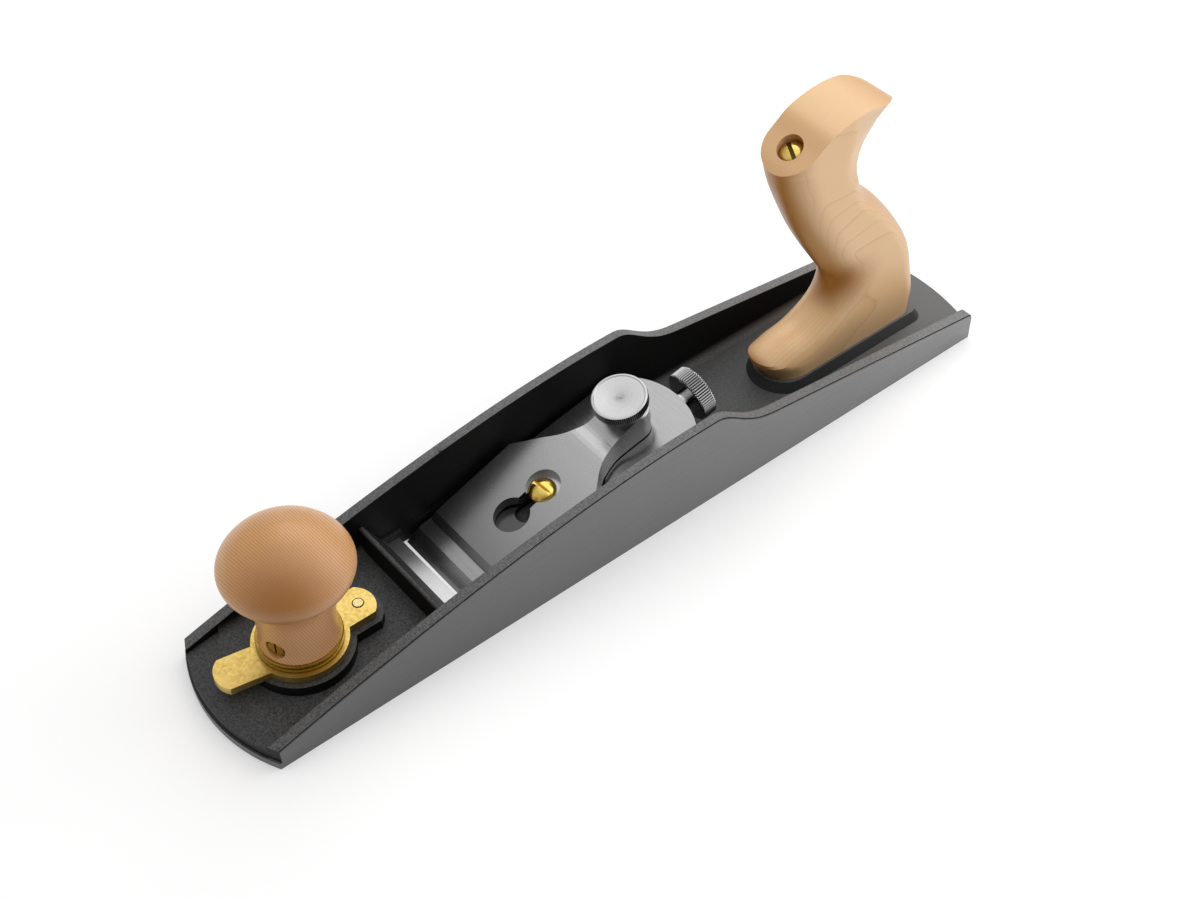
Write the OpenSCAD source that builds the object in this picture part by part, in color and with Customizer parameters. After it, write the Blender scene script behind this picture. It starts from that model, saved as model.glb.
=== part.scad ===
// Low angle jack plane: a long iron bench plane with its blade bevel up on a low bed.
// Millimetres. X runs from the toe (-X) to the heel (+X), and Z is up.
// The origin is the middle of the sole, which lies on z = 0.

/* [Body casting] */
// Length over toe and heel
body_l = 355.6; // [345:0.1:400]
// Width over the machined sides
body_w = 63.5; // [61:0.1:70]
// Radius of the toe in plan
toe_r = 66; // [50:1:100]
// Radius of the heel in plan
heel_r = 92; // [60:1:130]
// Thickness of a side wall at its top
wall_t = 4.2; // [3:0.1:4.5]
// How much thicker a side wall is at its foot
wall_draft = 0.8; // [0.2:0.1:1]
// Height of the side walls at their crest
wall_h = 41.85; // [38:0.05:50]
// Height of the side walls just behind their shoulder
shoulder_h = 27.6; // [24:0.1:32]
// Height of the side walls at the heel
heel_wall_h = 12.9; // [11:0.1:18]
// Height of the side walls at the toe
toe_wall_h = 9.3; // [9:0.1:12]
// Height of the floor ahead of the mouth
front_floor = 9; // [8:0.1:10]
// Height of the floor behind the mouth
rear_floor = 5.5; // [4.8:0.1:7]
// Height of the toe end, where its apron runs out
toe_end_h = 6.8; // [5:0.1:8]
// Fillet where the walls meet the floor
floor_fillet = 4; // [2:0.1:5]

/* [Bed and mouth] */
// Angle of the bed
bed_angle = 12; // [11:0.5:14]
// Share of the length that lies ahead of the cutting edge
edge_share = 0.2843; // [0.27:0.0001:0.3]
// How much wider the mouth is than the blade
mouth_room = 1.2; // [0.8:0.1:2]
// Open mouth ahead of the cutting edge
mouth_gap = 1.1; // [0.9:0.1:3]
// Height of the cross web ahead of the mouth
web_h = 19.6; // [16:0.1:24]
// Thickness of the cross web
web_t = 2.5; // [2:0.1:4]
// Width of the pillar that carries the adjuster
pillar_w = 36; // [24:1:44]

/* [Toe plate and its lever] */
// Thickness of the sliding toe plate
plate_t = 4.2; // [3.6:0.1:4.6]
// Length of the sliding toe plate
plate_l = 79.2; // [70:0.1:82]
// How far the toe plate opens the mouth
slide_open = 4; // [2:0.1:4.4]
// How far the toe plate closes the mouth
slide_close = 0.4; // [0.2:0.1:0.5]
// Swing of the lever for each millimetre of plate travel, in degrees
lever_rate = 4; // [3.4:0.1:4.4]
// Thickness of the brass lever
lever_t = 3.1; // [2:0.1:4]
// Radius of the lever's ring
ring_r = 17.6; // [16:0.1:19]
// Distance from the knob's axis to the lever's pivot
pivot_reach = 24.6; // [23:0.1:27]
// Width of the lever's finger tab
tab_w = 14.2; // [10:0.1:18]
// Reach of the finger tab from the knob's axis
tab_reach = 33.6; // [30:0.1:35]

/* [Front knob] */
// Distance from the toe to the knob's axis
knob_from_toe = 38.8; // [38:0.1:41]
// Height of the knob's top above the sole
knob_top = 74; // [72:0.5:90]
// Largest radius of the knob
knob_r = 24; // [22:0.1:26]
// Radius of the knob's neck
neck_r = 14.1; // [12.6:0.1:15]
// Radius of the stud that the knob screws on to
stud_r = 4; // [3:0.1:4.4]
// Height of the brass ferrule under the knob
ferrule_h = 3.2; // [2.6:0.1:5]

/* [Blade] */
// Thickness of the blade
blade_t = 3; // [2.4:0.1:4]
// How far each edge of the blade lies in from the machined side
blade_inset = 6.35; // [6.2:0.05:7.5]
// Length of the blade
blade_l = 116.3; // [112:0.1:117]
// Radius of the blade's rounded rear end
blade_end_r = 33; // [30:1:60]
// Bevel ground on the blade
bevel_angle = 25; // [20:1:45]

/* [Lever cap] */
// How much narrower the lever cap is than the blade
cap_room = 1.8; // [1.2:0.1:6]
// Distance from the cutting edge to the lever cap's nose
cap_nose_s = 12.4; // [8:0.1:16]
// Distance from the cutting edge to the cap screw
cap_screw_s = 49; // [47:0.1:52]
// Distance from the cutting edge to the thumbscrew
thumb_s = 91.3; // [86:0.1:94]
// Height of the arm's top over the blade, at the thumbscrew
arm_h = 13.05; // [12:0.05:16]
// Half the width of the arm
arm_half_w = 7.5; // [6:0.1:9]
// Radius of the thumbscrew's disc
thumb_r = 11; // [9:0.1:14]
// Thickness of the thumbscrew's disc
thumb_t = 4.7; // [4:0.1:8]
// Height of the collar under the thumbscrew's disc
collar_h = 5.4; // [3:0.1:8]

/* [Blade adjuster] */
// Radius of the knurled wheel
wheel_r = 10.8; // [9:0.1:12]
// Width of the knurled wheel
wheel_t = 6.7; // [5:0.1:9]
// Gap between the blade's rear end and the wheel
wheel_gap = 3.8; // [3:0.1:6]
// Depth of the spindle's axis below the bed
spindle_depth = 3.2; // [3.1:0.1:4]
// Radius of the spindle's thread
spindle_r = 2.5; // [2.2:0.1:2.6]
// How far the blade draws back from flush
draw_back = 6; // [2:0.1:6]

/* [Rear tote] */
// Distance from the heel to the front of the tote's foot
tote_from_heel = 98.4; // [98:0.1:104]
// Half the thickness of the tote at its foot
tote_half_w = 11.3; // [10:0.1:12]
// How much the tote thickens on each side from foot to top
tote_swell = 0.8; // [0:0.1:1.5]
// Radius of the rod through the tote
rod_r = 3; // [2.4:0.1:3.4]
// Radius of the brass nut's head
nut_r = 4.8; // [4.2:0.1:5.2]

/* [Hidden] */
$fn = 64;
hull_fn = 32;
far = 400;
tall = 40;

// Clearances
fit = 0.05;        // a turning or sliding fit, on the radius
lay = 0.05;        // under a flat face that lies on another body
loose = 0.3;       // between faces that pass each other
set_in = 1;        // how far one shape runs into another of the same node

// Places along the plane
toe_x = -body_l / 2;
heel_x = body_l / 2;
edge_x = toe_x + edge_share * body_l;
knob_x = toe_x + knob_from_toe;
pivot_x = knob_x + pivot_reach;
tote_x = heel_x - tote_from_heel;
half_w = body_w / 2;
blade_w = body_w - 2 * blade_inset;
mouth_w = blade_w + mouth_room;
cap_w = blade_w - cap_room;
wheel_s = blade_l + wheel_gap;
toe_corner_x = toe_x + toe_r - sqrt(toe_r * toe_r - half_w * half_w);
heel_corner_x = heel_x - heel_r + sqrt(heel_r * heel_r - half_w * half_w);

// Side walls, as places behind the cutting edge
crest_back = 100.7;
crest_x = edge_x + crest_back;
crest_l = 6;
drop_l = 30;
rise_pull = 14.7;
rise_pull_x = edge_x + rise_pull;
wall_steps = 36;
drop_steps = 14;
step_w = 0.5;
step_h = 0.6;
strip_h = 3;
strip_back = 0.8;
heel_round = 3;
heel_round_x = heel_corner_x + 0.8;

// Mouth
bed_rise = tan(bed_angle);
bed_front = 3.2;
bed_cut_l = 50;
bed_cut_h = 8;
bed_cut_w = mouth_w + 1;
wedge_l = 58.7;
web_ahead = 17.6;
web_x = edge_x - web_ahead;
throat_ahead = 8.4;
throat_x = edge_x - throat_ahead;
plate_rear_x = edge_x - mouth_gap;
plate_front_x = plate_rear_x - plate_l;
plate_slant = 1.85;

// Pillar, as places ahead of the blade's rear end
pillar_front_in = 34.1;
pillar_rear_in = 14.6;
pillar_x0 = edge_x + blade_l - pillar_front_in;
pillar_x1 = edge_x + blade_l - pillar_rear_in;

// Front boss, lever and stud
boss_top = 13.6;
lever_z = boss_top + loose;
lever_top = lever_z + lever_t;
ferrule_z = lever_top + 0.2;
knob_z = ferrule_z + ferrule_h;
lobe_x = pivot_x - 2.9;
lobe_r = 9.1;
lobe_half_w = 7.2;
boss_margin = 2.3;
boss_r = ring_r + 2.1;
tab_skew = 11;
tab_side = -2.6;
tab_end_r = 9;
pin_r = 2.2;
pin_deep = 5;
neck_stem_r = 7.5;
neck_stem_h = 4;
stem_room = 0.4;
stud_in_knob = 28;
insert_r = 6.4;
insert_l = 32;

// Knob lock screw
lock_z = knob_z + 5.7;
lock_turn = -156;
lock_r = 1.8;
lock_head_r = 3.2;
lock_recess_r = 4;

// Blade parts
slot_half_w = 4.5;
slot_front_s = cap_screw_s - draw_back - 3;
slot_back = 29.5;
slot_rear_s = cap_screw_s + slot_back;
yoke_in = 5.8;
yoke_s = blade_l - yoke_in;
yoke_l = 6;
yoke_half_w = 8;
yoke_h = 7;
groove_w = 2.2;
groove_deep = 1.5;
groove_pitch = 4;
groove_count = 3;
tongue_w = 1.8;
tongue_half_w = 6;

// Lever cap parts
blade_top = lay + blade_t;
cap_lift = 0.12;
cap_nose_t = 2;
cap_slope = 8.1;
cap_taper_back = 4;
cap_taper_s = cap_screw_s + cap_taper_back;
core_in = 0.7;
core_lift = 0.6;
cap_screw_r = 3.2;
screw_deep = 7.5;
cap_head_r = 5.6;
dome_r = 7;
screw_slot_turn = -83;
screw_slot_w = 1.3;
cap_hole_ahead = 15;
cap_hole_s = cap_screw_s - cap_hole_ahead;
cap_hole_r = 7.3;
recess_s = cap_screw_s + 1;
recess_r = 7;
recess_deep = 2.2;
thumb_stud_r = 3;
collar_r = 6;
arm_end = 2.9;

// Adjuster parts
hub_r = 3.9;
hub_l = 3.3;
neck_in = 0.5;
spindle_in = 36.3;
spindle_front_s = blade_l - spindle_in;
bore_ahead = 10;
spindle_bore_s = spindle_front_s - bore_ahead;
spindle_bore_l = 46;
clip_t = 0.8;
clip_r = 2.9;

// Tote and what holds it
tote_l = 83.5;
tote_z = rear_floor + 4;
pad_slope = 3;
pad_margin = 1;
nut_x = tote_x + 8.6;
nut_z = 121.4;
rod_lean = 23.9;
rod_foot_z = 2.5;
rod_l = (nut_z - rod_foot_z) / cos(rod_lean);
nut_sunk = 3.6;
nut_l = 22;
nut_head_t = 2;
nut_slot_w = 1.2;
nut_slot_turn = -110;
nut_wall_end = 3;
nut_body_r = 3.9;
nut_hole_r = nut_r + 0.6;
pin_x = tote_x + 18;
peg_r = 3;
peg_top = tote_z + 8;
front_round = 13;
back_round = 8;
keel_round = 10;
keel_z = 98;
keel_rise = 18;
ring_steps = 18;
sub_steps = 3;

// Front and back of the tote in side view, from the top down, as pairs that one ring joins
tote_front = [
    [-0.8, 114.8], [1.7, 105.9], [6.6, 94.1], [13.4, 79.9], [21.3, 66.4], [28.8, 54.6],
    [34.5, 44.6], [31.5, 34.3], [20.8, 27.9], [9.1, 25.5], [-1.8, 20], [4.4, 9.5]
];
tote_back = [
    [61.3, 119.9], [52.2, 112], [44.1, 106.1], [40.4, 98.7], [44.9, 88.5], [54.4, 78.7],
    [64.9, 65.1], [74.3, 49.4], [78.6, 34.2], [81.2, 22], [81, 15.5], [80.6, 9.5]
];
tote_crown = [
    [-0.8, 114.8], [2.6, 117.6], [7.1, 120.7], [11.6, 123.8], [17.6, 128.1], [23.6, 130.2],
    [29.6, 131.4], [35.6, 131.8], [41.6, 131.2], [47.6, 129.8], [51.6, 128.2], [54.6, 126],
    [57.6, 123.3], [61.3, 119.9]
];

// Curves through hand-chosen points

function bezier(a, b, c, d, t) =
    a * pow(1 - t, 3) + 3 * b * t * pow(1 - t, 2) + 3 * c * t * t * (1 - t) + d * pow(t, 3);

function bezier_points(a, b, c, d, n) = [for (i = [0:n]) bezier(a, b, c, d, i / n)];

function clamp_at(list, i) = list[max(0, min(len(list) - 1, i))];

function smooth_point(a, b, c, d, t) =
    0.5 * (2 * b + (c - a) * t + (2 * a - 5 * b + 4 * c - d) * t * t
    + (3 * b - a - 3 * c + d) * t * t * t);

// A smooth curve through every point of a list, with n steps between two points
function smooth(list, n) = concat(
    [for (i = [0:len(list) - 2]) for (k = [0:n - 1])
        smooth_point(clamp_at(list, i - 1), list[i], list[i + 1], clamp_at(list, i + 2), k / n)],
    [list[len(list) - 1]]
);

function reversed(list) = [for (i = [len(list) - 1:-1:0]) list[i]];

function mirrored(list) = [for (p = reversed(list)) [p.x, -p.y]];

// Helpers for placing shapes

module along_bed(s = 0, off = 0) {
    translate([edge_x, 0, 0]) rotate([0, -bed_angle, 0]) translate([s, 0, off]) children();
}

// A side view outline drawn in X and Z, carried across the width w
module across(w) {
    rotate([90, 0, 0]) linear_extrude(w, center = true) children();
}

// A rod along X from x = 0
module rod_x(r, l) {
    rotate([0, 90, 0]) cylinder(r = r, h = l);
}

// A block along X with round ends, standing on z = 0
module stadium(x0, x1, r, h) {
    translate([x0, 0, 0]) cylinder(r = r, h = h);
    translate([x1, 0, 0]) cylinder(r = r, h = h);
    translate([x0, -r, 0]) cube([x1 - x0, 2 * r, h]);
}

// A strip along X whose end is an arc of radius r about end_x, standing on z = 0
module arc_strip(x0, end_x, half, r, h) {
    intersection() {
        translate([x0, -half, 0]) cube([end_x + r - x0, 2 * half, h]);
        union() {
            translate([x0, -half, 0]) cube([end_x - x0, 2 * half, h]);
            translate([end_x, 0, 0]) cylinder(r = r, h = h);
        }
    }
}

// Body casting

module body_plan(toe_back = 0, side_back = 0) {
    intersection() {
        square([far * 2, body_w - 2 * side_back], center = true);
        union() {
            translate([toe_x + toe_r, 0]) circle(r = toe_r - toe_back, $fn = 128);
            translate([heel_x - heel_r, 0]) circle(r = heel_r, $fn = 128);
            translate([toe_x + toe_r, -half_w]) square([body_l - toe_r - heel_r, body_w]);
        }
    }
}

// The tops of the side walls in side view, lowered by drop
function wall_line(drop) = concat(
    [[toe_x - 1, toe_wall_h]],
    bezier_points(
        [toe_corner_x, toe_wall_h], [toe_corner_x, toe_wall_h], [rise_pull_x, wall_h],
        [crest_x, wall_h], wall_steps
    ),
    bezier_points(
        [crest_x + crest_l, wall_h], [crest_x + crest_l + 8, wall_h - 0.8],
        [crest_x + crest_l + 14, shoulder_h + 1.8], [crest_x + crest_l + drop_l, shoulder_h],
        drop_steps
    ),
    [for (a = [90:-15:0])
        [heel_round_x + heel_round * (cos(a) - 1), heel_wall_h + heel_round * (sin(a) - 1)]]
);

module wall_side(drop) {
    across(body_w + 2) polygon(concat(
        [for (p = wall_line(drop)) [p.x, p.y - drop]],
        [[heel_round_x, rear_floor], [heel_x + 1, rear_floor], [heel_x + 1, 0], [toe_x - 1, 0]]
    ));
}

function inner_half(z) = half_w - wall_t - wall_draft * (1 - z / wall_h);

// Half of the trough's cross section over a floor, in Y and Z
function trough_half(z) = concat(
    [for (a = [-90:11.25:0])
        [inner_half(z) + floor_fillet * (cos(a) - 1), z + floor_fillet * (1 + sin(a))]],
    [[inner_half(wall_h + 2), wall_h + 2]]
);

module trough(x0, x1, z) {
    translate([x0, 0, 0]) rotate([90, 0, 90]) linear_extrude(x1 - x0)
        polygon(concat(trough_half(z), [for (p = reversed(trough_half(z))) [-p.x, p.y]]));
}

module casting_shell() {
    difference() {
        union() {
            linear_extrude(strip_h) body_plan();
            intersection() {
                linear_extrude(wall_h + 1) body_plan(toe_back = strip_back);
                wall_side(step_h);
            }
            intersection() {
                linear_extrude(wall_h + 1) body_plan(toe_back = strip_back, side_back = step_w);
                wall_side(0);
            }
        }
        trough(toe_x - 1, web_x, front_floor);
        trough(web_x - 0.1, heel_x + 1, rear_floor);
    }
}

// The cross web with the throat face that falls behind it
module web() {
    w = 2 * (half_w - wall_t + 0.4);
    r = web_t / 2;
    translate([web_x, 0, web_h - r]) rotate([90, 0, 0]) cylinder(r = r, h = w, center = true);
    across(w) polygon([
        [web_x - r, 2], [web_x - r, web_h - r], [web_x + r, web_h - r],
        [throat_x, plate_t], [throat_x, 2]
    ]);
}

module bed_wedge() {
    rear = edge_x + wedge_l;
    across(2 * (half_w - wall_t + 0.4)) polygon([
        [edge_x + bed_front, 0], [edge_x + bed_front, bed_front * bed_rise],
        [rear, wedge_l * bed_rise], [rear, rear_floor - set_in], [rear, 0]
    ]);
}

module pillar() {
    across(pillar_w) polygon([
        [pillar_x0, rear_floor - set_in], [pillar_x0, (pillar_x0 - edge_x) * bed_rise],
        [pillar_x1, (pillar_x1 - edge_x) * bed_rise], [pillar_x1, rear_floor - set_in]
    ]);
}

module front_boss() {
    base = plate_t + 1;
    translate([0, 0, base]) {
        translate([knob_x, 0, 0]) cylinder(r = boss_r, h = boss_top - base, $fn = 96);
        arc_strip(knob_x, lobe_x, lobe_half_w + boss_margin, lobe_r + boss_margin, boss_top - base);
    }
}

// The low pad that the tote stands on, with sloping sides
module tote_pad() {
    r = tote_half_w + pad_margin;
    x0 = tote_x + 2.4 + r;
    x1 = tote_x + tote_l - pad_slope - 3;
    h = tote_z - rear_floor + set_in;
    hull() {
        translate([x0, 0, rear_floor - set_in])
            cylinder(r1 = r + pad_slope, r2 = r, h = h, $fn = hull_fn);
        for (y = [-1, 1]) translate([x1, y * (r - 3), rear_floor - set_in])
            cylinder(r1 = 3 + pad_slope, r2 = 3, h = h, $fn = hull_fn);
    }
}

// The ring that slopes the toe's top face down to its end
module toe_apron() {
    intersection() {
        translate([toe_x + toe_r, 0, 0]) rotate_extrude($fn = 128) polygon([
            [toe_r - 13, front_floor], [toe_r + 1, toe_end_h - 0.17], [toe_r + 1, front_floor + 9],
            [toe_r - 13, front_floor + 9]
        ]);
        translate([toe_x - 1, -inner_half(front_floor), 0])
            cube([toe_r, 2 * inner_half(front_floor), front_floor + 8]);
    }
}

module mouth_cuts() {
    // Throat, from the web's rear face to the bed
    across(mouth_w) polygon([
        [throat_x, -1], [throat_x, plate_t + lay], [web_x + web_t, web_h + 2],
        [edge_x, web_h + 2], [edge_x, 12], [edge_x + bed_front, bed_front * bed_rise],
        [edge_x + bed_front, -1]
    ]);
    // Room for the blade where the bed lies below the floor
    along_bed(0, 0) translate([0, -bed_cut_w / 2, 0]) cube([bed_cut_l, bed_cut_w, bed_cut_h]);
    // Room for the toe plate and its travel
    translate([plate_front_x - slide_open - loose, -mouth_w / 2, -1])
        cube([throat_x - plate_front_x + slide_open + loose + 1, mouth_w, 1 + plate_t + lay]);
    // Room for the plate's stem, then the slot for the stud
    stadium(
        knob_x - slide_open, knob_x + slide_close, neck_stem_r + stem_room,
        plate_t + neck_stem_h + stem_room
    );
    stadium(knob_x - slide_open, knob_x + slide_close, stud_r + stem_room, boss_top + 1);
}

module casting_bores() {
    translate([pivot_x, 0, boss_top - pin_deep]) cylinder(r = pin_r, h = pin_deep + 1);
    along_bed(cap_screw_s, -screw_deep - 0.5) cylinder(r = cap_screw_r + fit, h = screw_deep + 1.5);
    along_bed(spindle_bore_s, -spindle_depth) rod_x(spindle_r + fit, spindle_bore_l);
    tote_line() translate([0, 0, -rod_l - 1]) cylinder(r = rod_r, h = rod_l + 1);
    translate([pin_x, 0, rear_floor - 2]) cylinder(r = peg_r, h = 10);
}

module body_casting() {
    color("#2b2d2f") difference() {
        union() {
            casting_shell();
            web();
            bed_wedge();
            pillar();
            front_boss();
            tote_pad();
        }
        toe_apron();
        mouth_cuts();
        casting_bores();
    }
}

// Toe plate, its stud and the lever that slides them

module toe_plate() {
    color("#c9cbcc") {
        across(mouth_w - 2 * fit) polygon([
            [plate_front_x, 0], [plate_rear_x, 0], [plate_rear_x - plate_slant, plate_t],
            [plate_front_x, plate_t]
        ]);
        difference() {
            translate([knob_x, 0, plate_t - 0.1]) cylinder(r = neck_stem_r, h = neck_stem_h + 0.1);
            translate([knob_x, 0, plate_t]) cylinder(r = stud_r, h = neck_stem_h + 1);
        }
    }
}

module knob_stud() {
    color("#8d9092") translate([knob_x, 0, plate_t])
        cylinder(r = stud_r, h = knob_z + stud_in_knob - plate_t);
}

// Where the stud lies in the lever, seen from the lever, once the plate has slid by d
function cam_point(d) =
    let (turn = -lever_rate * d, reach = d - pivot_reach)
    [pivot_x + reach * cos(turn), -reach * sin(turn)];

// Outline of the slot: the stud's path with room on both sides and round ends
function cam_outline(r) =
    let (
        n = 12,
        path = [for (i = [0:n]) cam_point(slide_close - (slide_close + slide_open) * i / n)],
        way = [for (i = [0:n]) let (d = path[min(n, i + 1)] - path[max(0, i - 1)]) d / norm(d)],
        left = [for (i = [0:n]) path[i] + r * [-way[i].y, way[i].x]],
        right = [for (i = [n:-1:0]) path[i] - r * [-way[i].y, way[i].x]],
        last = atan2(way[n].y, way[n].x),
        first = atan2(way[0].y, way[0].x)
    )
    concat(
        left, [for (a = [75:-15:-75]) path[n] + r * [cos(last + a), sin(last + a)]],
        right, [for (a = [-105:-15:-255]) path[0] + r * [cos(first + a), sin(first + a)]]
    );

module mouth_lever() {
    color("#c7a23c") translate([0, 0, lever_z]) difference() {
        union() {
            translate([knob_x, 0, 0]) cylinder(r = ring_r, h = lever_t, $fn = 96);
            arc_strip(knob_x, lobe_x, lobe_half_w, lobe_r, lever_t);
            translate([knob_x, tab_side, 0]) rotate(180 - tab_skew)
                arc_strip(0, tab_reach - tab_end_r, tab_w / 2, tab_end_r, lever_t);
        }
        translate([pivot_x, 0, -1]) cylinder(r = pin_r + fit, h = lever_t + 2);
        translate([0, 0, -1]) linear_extrude(lever_t + 2) polygon(cam_outline(stud_r + 0.2));
    }
}

module lever_pivot_pin() {
    color("#d8c47a") translate([pivot_x, 0, boss_top - pin_deep])
        cylinder(r = pin_r, h = lever_top - boss_top + pin_deep + 0.2);
}

// Knob and what turns with it

module knob_ferrule() {
    r = neck_r + 1.7;
    color("#c7a23c") translate([knob_x, 0, ferrule_z]) difference() {
        rotate_extrude($fn = 96) polygon([
            [0, 0], [r - 0.4, 0], [r, 0.4], [r, ferrule_h * 0.45], [r - 0.6, ferrule_h * 0.5],
            [r - 0.6, ferrule_h * 0.6], [r - 0.1, ferrule_h * 0.65], [r - 0.1, ferrule_h - 0.4],
            [r - 0.4, ferrule_h], [0, ferrule_h]
        ]);
        translate([0, 0, -1]) cylinder(r = stud_r + fit, h = ferrule_h + 2);
    }
}

// The knob's turned profile from its foot to the middle of its top
function knob_profile() =
    let (h = knob_top - knob_z, z = knob_z)
    smooth([
        [neck_r + 0.7, z], [neck_r + 0.1, z + 0.07 * h], [neck_r, z + 0.14 * h],
        [neck_r + 0.2, z + 0.22 * h], [neck_r + 0.6, z + 0.29 * h], [neck_r + 1.2, z + 0.37 * h],
        [neck_r + 2.2, z + 0.44 * h], [knob_r - 5.8, z + 0.515 * h], [knob_r - 3.1, z + 0.57 * h],
        [knob_r - 0.8, z + 0.625 * h], [knob_r, z + 0.685 * h], [knob_r - 0.7, z + 0.74 * h],
        [knob_r - 2.6, z + 0.795 * h], [knob_r - 5.3, z + 0.85 * h], [knob_r - 9.3, z + 0.907 * h],
        [knob_r - 14.5, z + 0.955 * h], [knob_r - 19.2, z + 0.988 * h], [0, knob_top]
    ], 4);

module lock_line() {
    translate([knob_x, 0, lock_z]) rotate(lock_turn) rotate([0, 90, 0]) children();
}

module front_knob() {
    color("#d9a878") difference() {
        translate([knob_x, 0, 0]) rotate_extrude($fn = 96)
            polygon(concat([[0, knob_z]], knob_profile()));
        translate([knob_x, 0, knob_z - 1]) cylinder(r = insert_r, h = insert_l + 1 + loose);
        lock_line() translate([0, 0, insert_r - 1]) cylinder(r = lock_r + fit, h = 20);
        lock_line() translate([0, 0, neck_r - 2.2]) cylinder(r = lock_recess_r, h = 20);
    }
}

module knob_insert() {
    color("#c7a23c") translate([knob_x, 0, knob_z]) difference() {
        cylinder(r = insert_r - fit, h = insert_l);
        translate([0, 0, -1]) cylinder(r = stud_r + fit, h = stud_in_knob + 2);
        translate([0, 0, lock_z - knob_z]) rotate(lock_turn) rotate([0, 90, 0])
            cylinder(r = lock_r, h = insert_r + 2);
    }
}

module knob_lock_screw() {
    color("#c7a23c") lock_line() difference() {
        union() {
            translate([0, 0, stud_r + loose]) cylinder(r = lock_r, h = neck_r - 2.2 - stud_r - loose);
            translate([0, 0, neck_r - 2.2]) cylinder(r = lock_head_r, h = 1.6);
        }
        translate([-lock_head_r - 1, -0.4, neck_r - 1.5]) cube([2 * lock_head_r + 2, 0.8, 3]);
    }
}

// Blade and what clamps it

module blade_groove(i) {
    translate([yoke_s + 0.3 - i * groove_pitch, -yoke_half_w - 2, -1])
        cube([groove_w, 2 * yoke_half_w + 4, 1 + groove_deep]);
}

module blade() {
    end_s = blade_l - blade_end_r;
    color("#d3d5d6") along_bed(0, lay) difference() {
        intersection() {
            across(blade_w) polygon([
                [0, 0], [blade_l + 1, 0], [blade_l + 1, blade_t], [blade_t / tan(bevel_angle), blade_t]
            ]);
            union() {
                translate([-1, -blade_w / 2, 0]) cube([end_s + 1, blade_w, blade_t]);
                translate([end_s, 0, 0]) cylinder(r = blade_end_r, h = blade_t, $fn = 128);
            }
        }
        translate([0, 0, -1]) stadium(slot_front_s, slot_rear_s, slot_half_w, blade_t + 2);
        for (i = [0:groove_count - 1]) blade_groove(i);
    }
}

// Top of the cap's flat plate over the blade, at the distance s from the cutting edge
function cap_line(s) = cap_nose_t + (s - cap_nose_s) * tan(cap_slope);

function cap_top_line() = concat(
    [[cap_nose_s, cap_lift], [cap_nose_s, 0.9], [cap_nose_s + 2.6, cap_line(cap_nose_s + 2.6)]],
    smooth([
        [thumb_s - 26, cap_line(thumb_s - 26)], [thumb_s - 19, cap_line(thumb_s - 19)],
        [thumb_s - 12.5, arm_h - 2.2], [thumb_s - 6.5, arm_h - 0.8], [thumb_s, arm_h],
        [thumb_s + 6, arm_h - 1], [thumb_s + 12, arm_h - 3.2]
    ], 4)
);

function cap_under_line() = concat(
    smooth([
        [thumb_s + 12, arm_h - 7.6], [thumb_s + 6, arm_h - 6.2], [thumb_s, arm_h - 6.1],
        [thumb_s - 5, arm_h - 7.6], [thumb_s - 10, arm_h - 9.6], [thumb_s - 16, arm_h - 10.4],
        [thumb_s - 26, arm_h - 10.4]
    ], 4),
    [[cap_screw_s, cap_line(cap_screw_s) - 5], [cap_nose_s + 21, 0.6], [cap_nose_s + 8, cap_lift]]
);

// One side of the cap in plan, drawn in by inset
function cap_edge(inset) = concat(
    [[cap_nose_s, cap_w / 2 - inset], [cap_taper_s, cap_w / 2 - inset]],
    [for (p = smooth([
        [thumb_s - 27.5, arm_half_w + 8.7], [thumb_s - 22.5, arm_half_w + 4.5],
        [thumb_s - 17.5, arm_half_w + 1.9], [thumb_s - 12, arm_half_w + 0.3],
        [thumb_s - 6, arm_half_w], [thumb_s + arm_end, arm_half_w]
    ], 4)) [p.x, p.y - inset]]
);

module cap_plan(inset) {
    linear_extrude(tall) {
        polygon(concat(cap_edge(inset), mirrored(cap_edge(inset))));
        translate([thumb_s + arm_end, 0]) circle(r = arm_half_w - inset);
    }
}

module cap_body() {
    intersection() {
        across(cap_w + 2) polygon(concat(cap_top_line(), cap_under_line()));
        cap_plan(0);
    }
    // The deeper rib below the arm, drawn in a little from its edges
    intersection() {
        across(cap_w + 2) polygon([
            [thumb_s - 24, arm_h - 8.5], [thumb_s - 20, core_lift], [thumb_s + 10, core_lift],
            [thumb_s + 10, arm_h - 5.5], [thumb_s, arm_h - 4], [thumb_s - 6, arm_h - 5.5]
        ]);
        cap_plan(core_in);
    }
}

module lever_cap() {
    floor_z = cap_line(cap_screw_s) - recess_deep;
    color("#9b9d9f") along_bed(0, blade_top) difference() {
        cap_body();
        translate([cap_hole_s, 0, -1]) cylinder(r = cap_hole_r, h = 20);
        translate([0, 0, -1]) stadium(cap_hole_s, cap_screw_s, cap_screw_r + loose, 20);
        translate([recess_s, 0, floor_z]) cylinder(r = recess_r, h = 20);
        translate([thumb_s, 0, -1]) cylinder(r = thumb_stud_r + fit, h = tall);
    }
}

module thumbscrew_knob() {
    z0 = arm_h + collar_h;
    z1 = z0 + thumb_t;
    color("#b9bbbd") along_bed(thumb_s, blade_top) difference() {
        union() {
            rotate_extrude($fn = 96) polygon([
                [0, z0], [thumb_r - 0.5, z0], [thumb_r, z0 + 0.5], [thumb_r, z1 - 0.5],
                [thumb_r - 0.5, z1], [thumb_r - 1.1, z1], [thumb_r - 1.5, z1 - 0.25], [0, z1 - 0.9]
            ]);
            translate([0, 0, arm_h + loose]) cylinder(r = collar_r, h = z0 - arm_h - loose + 0.1);
        }
        cylinder(r = thumb_stud_r, h = z1 - 2);
    }
}

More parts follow.
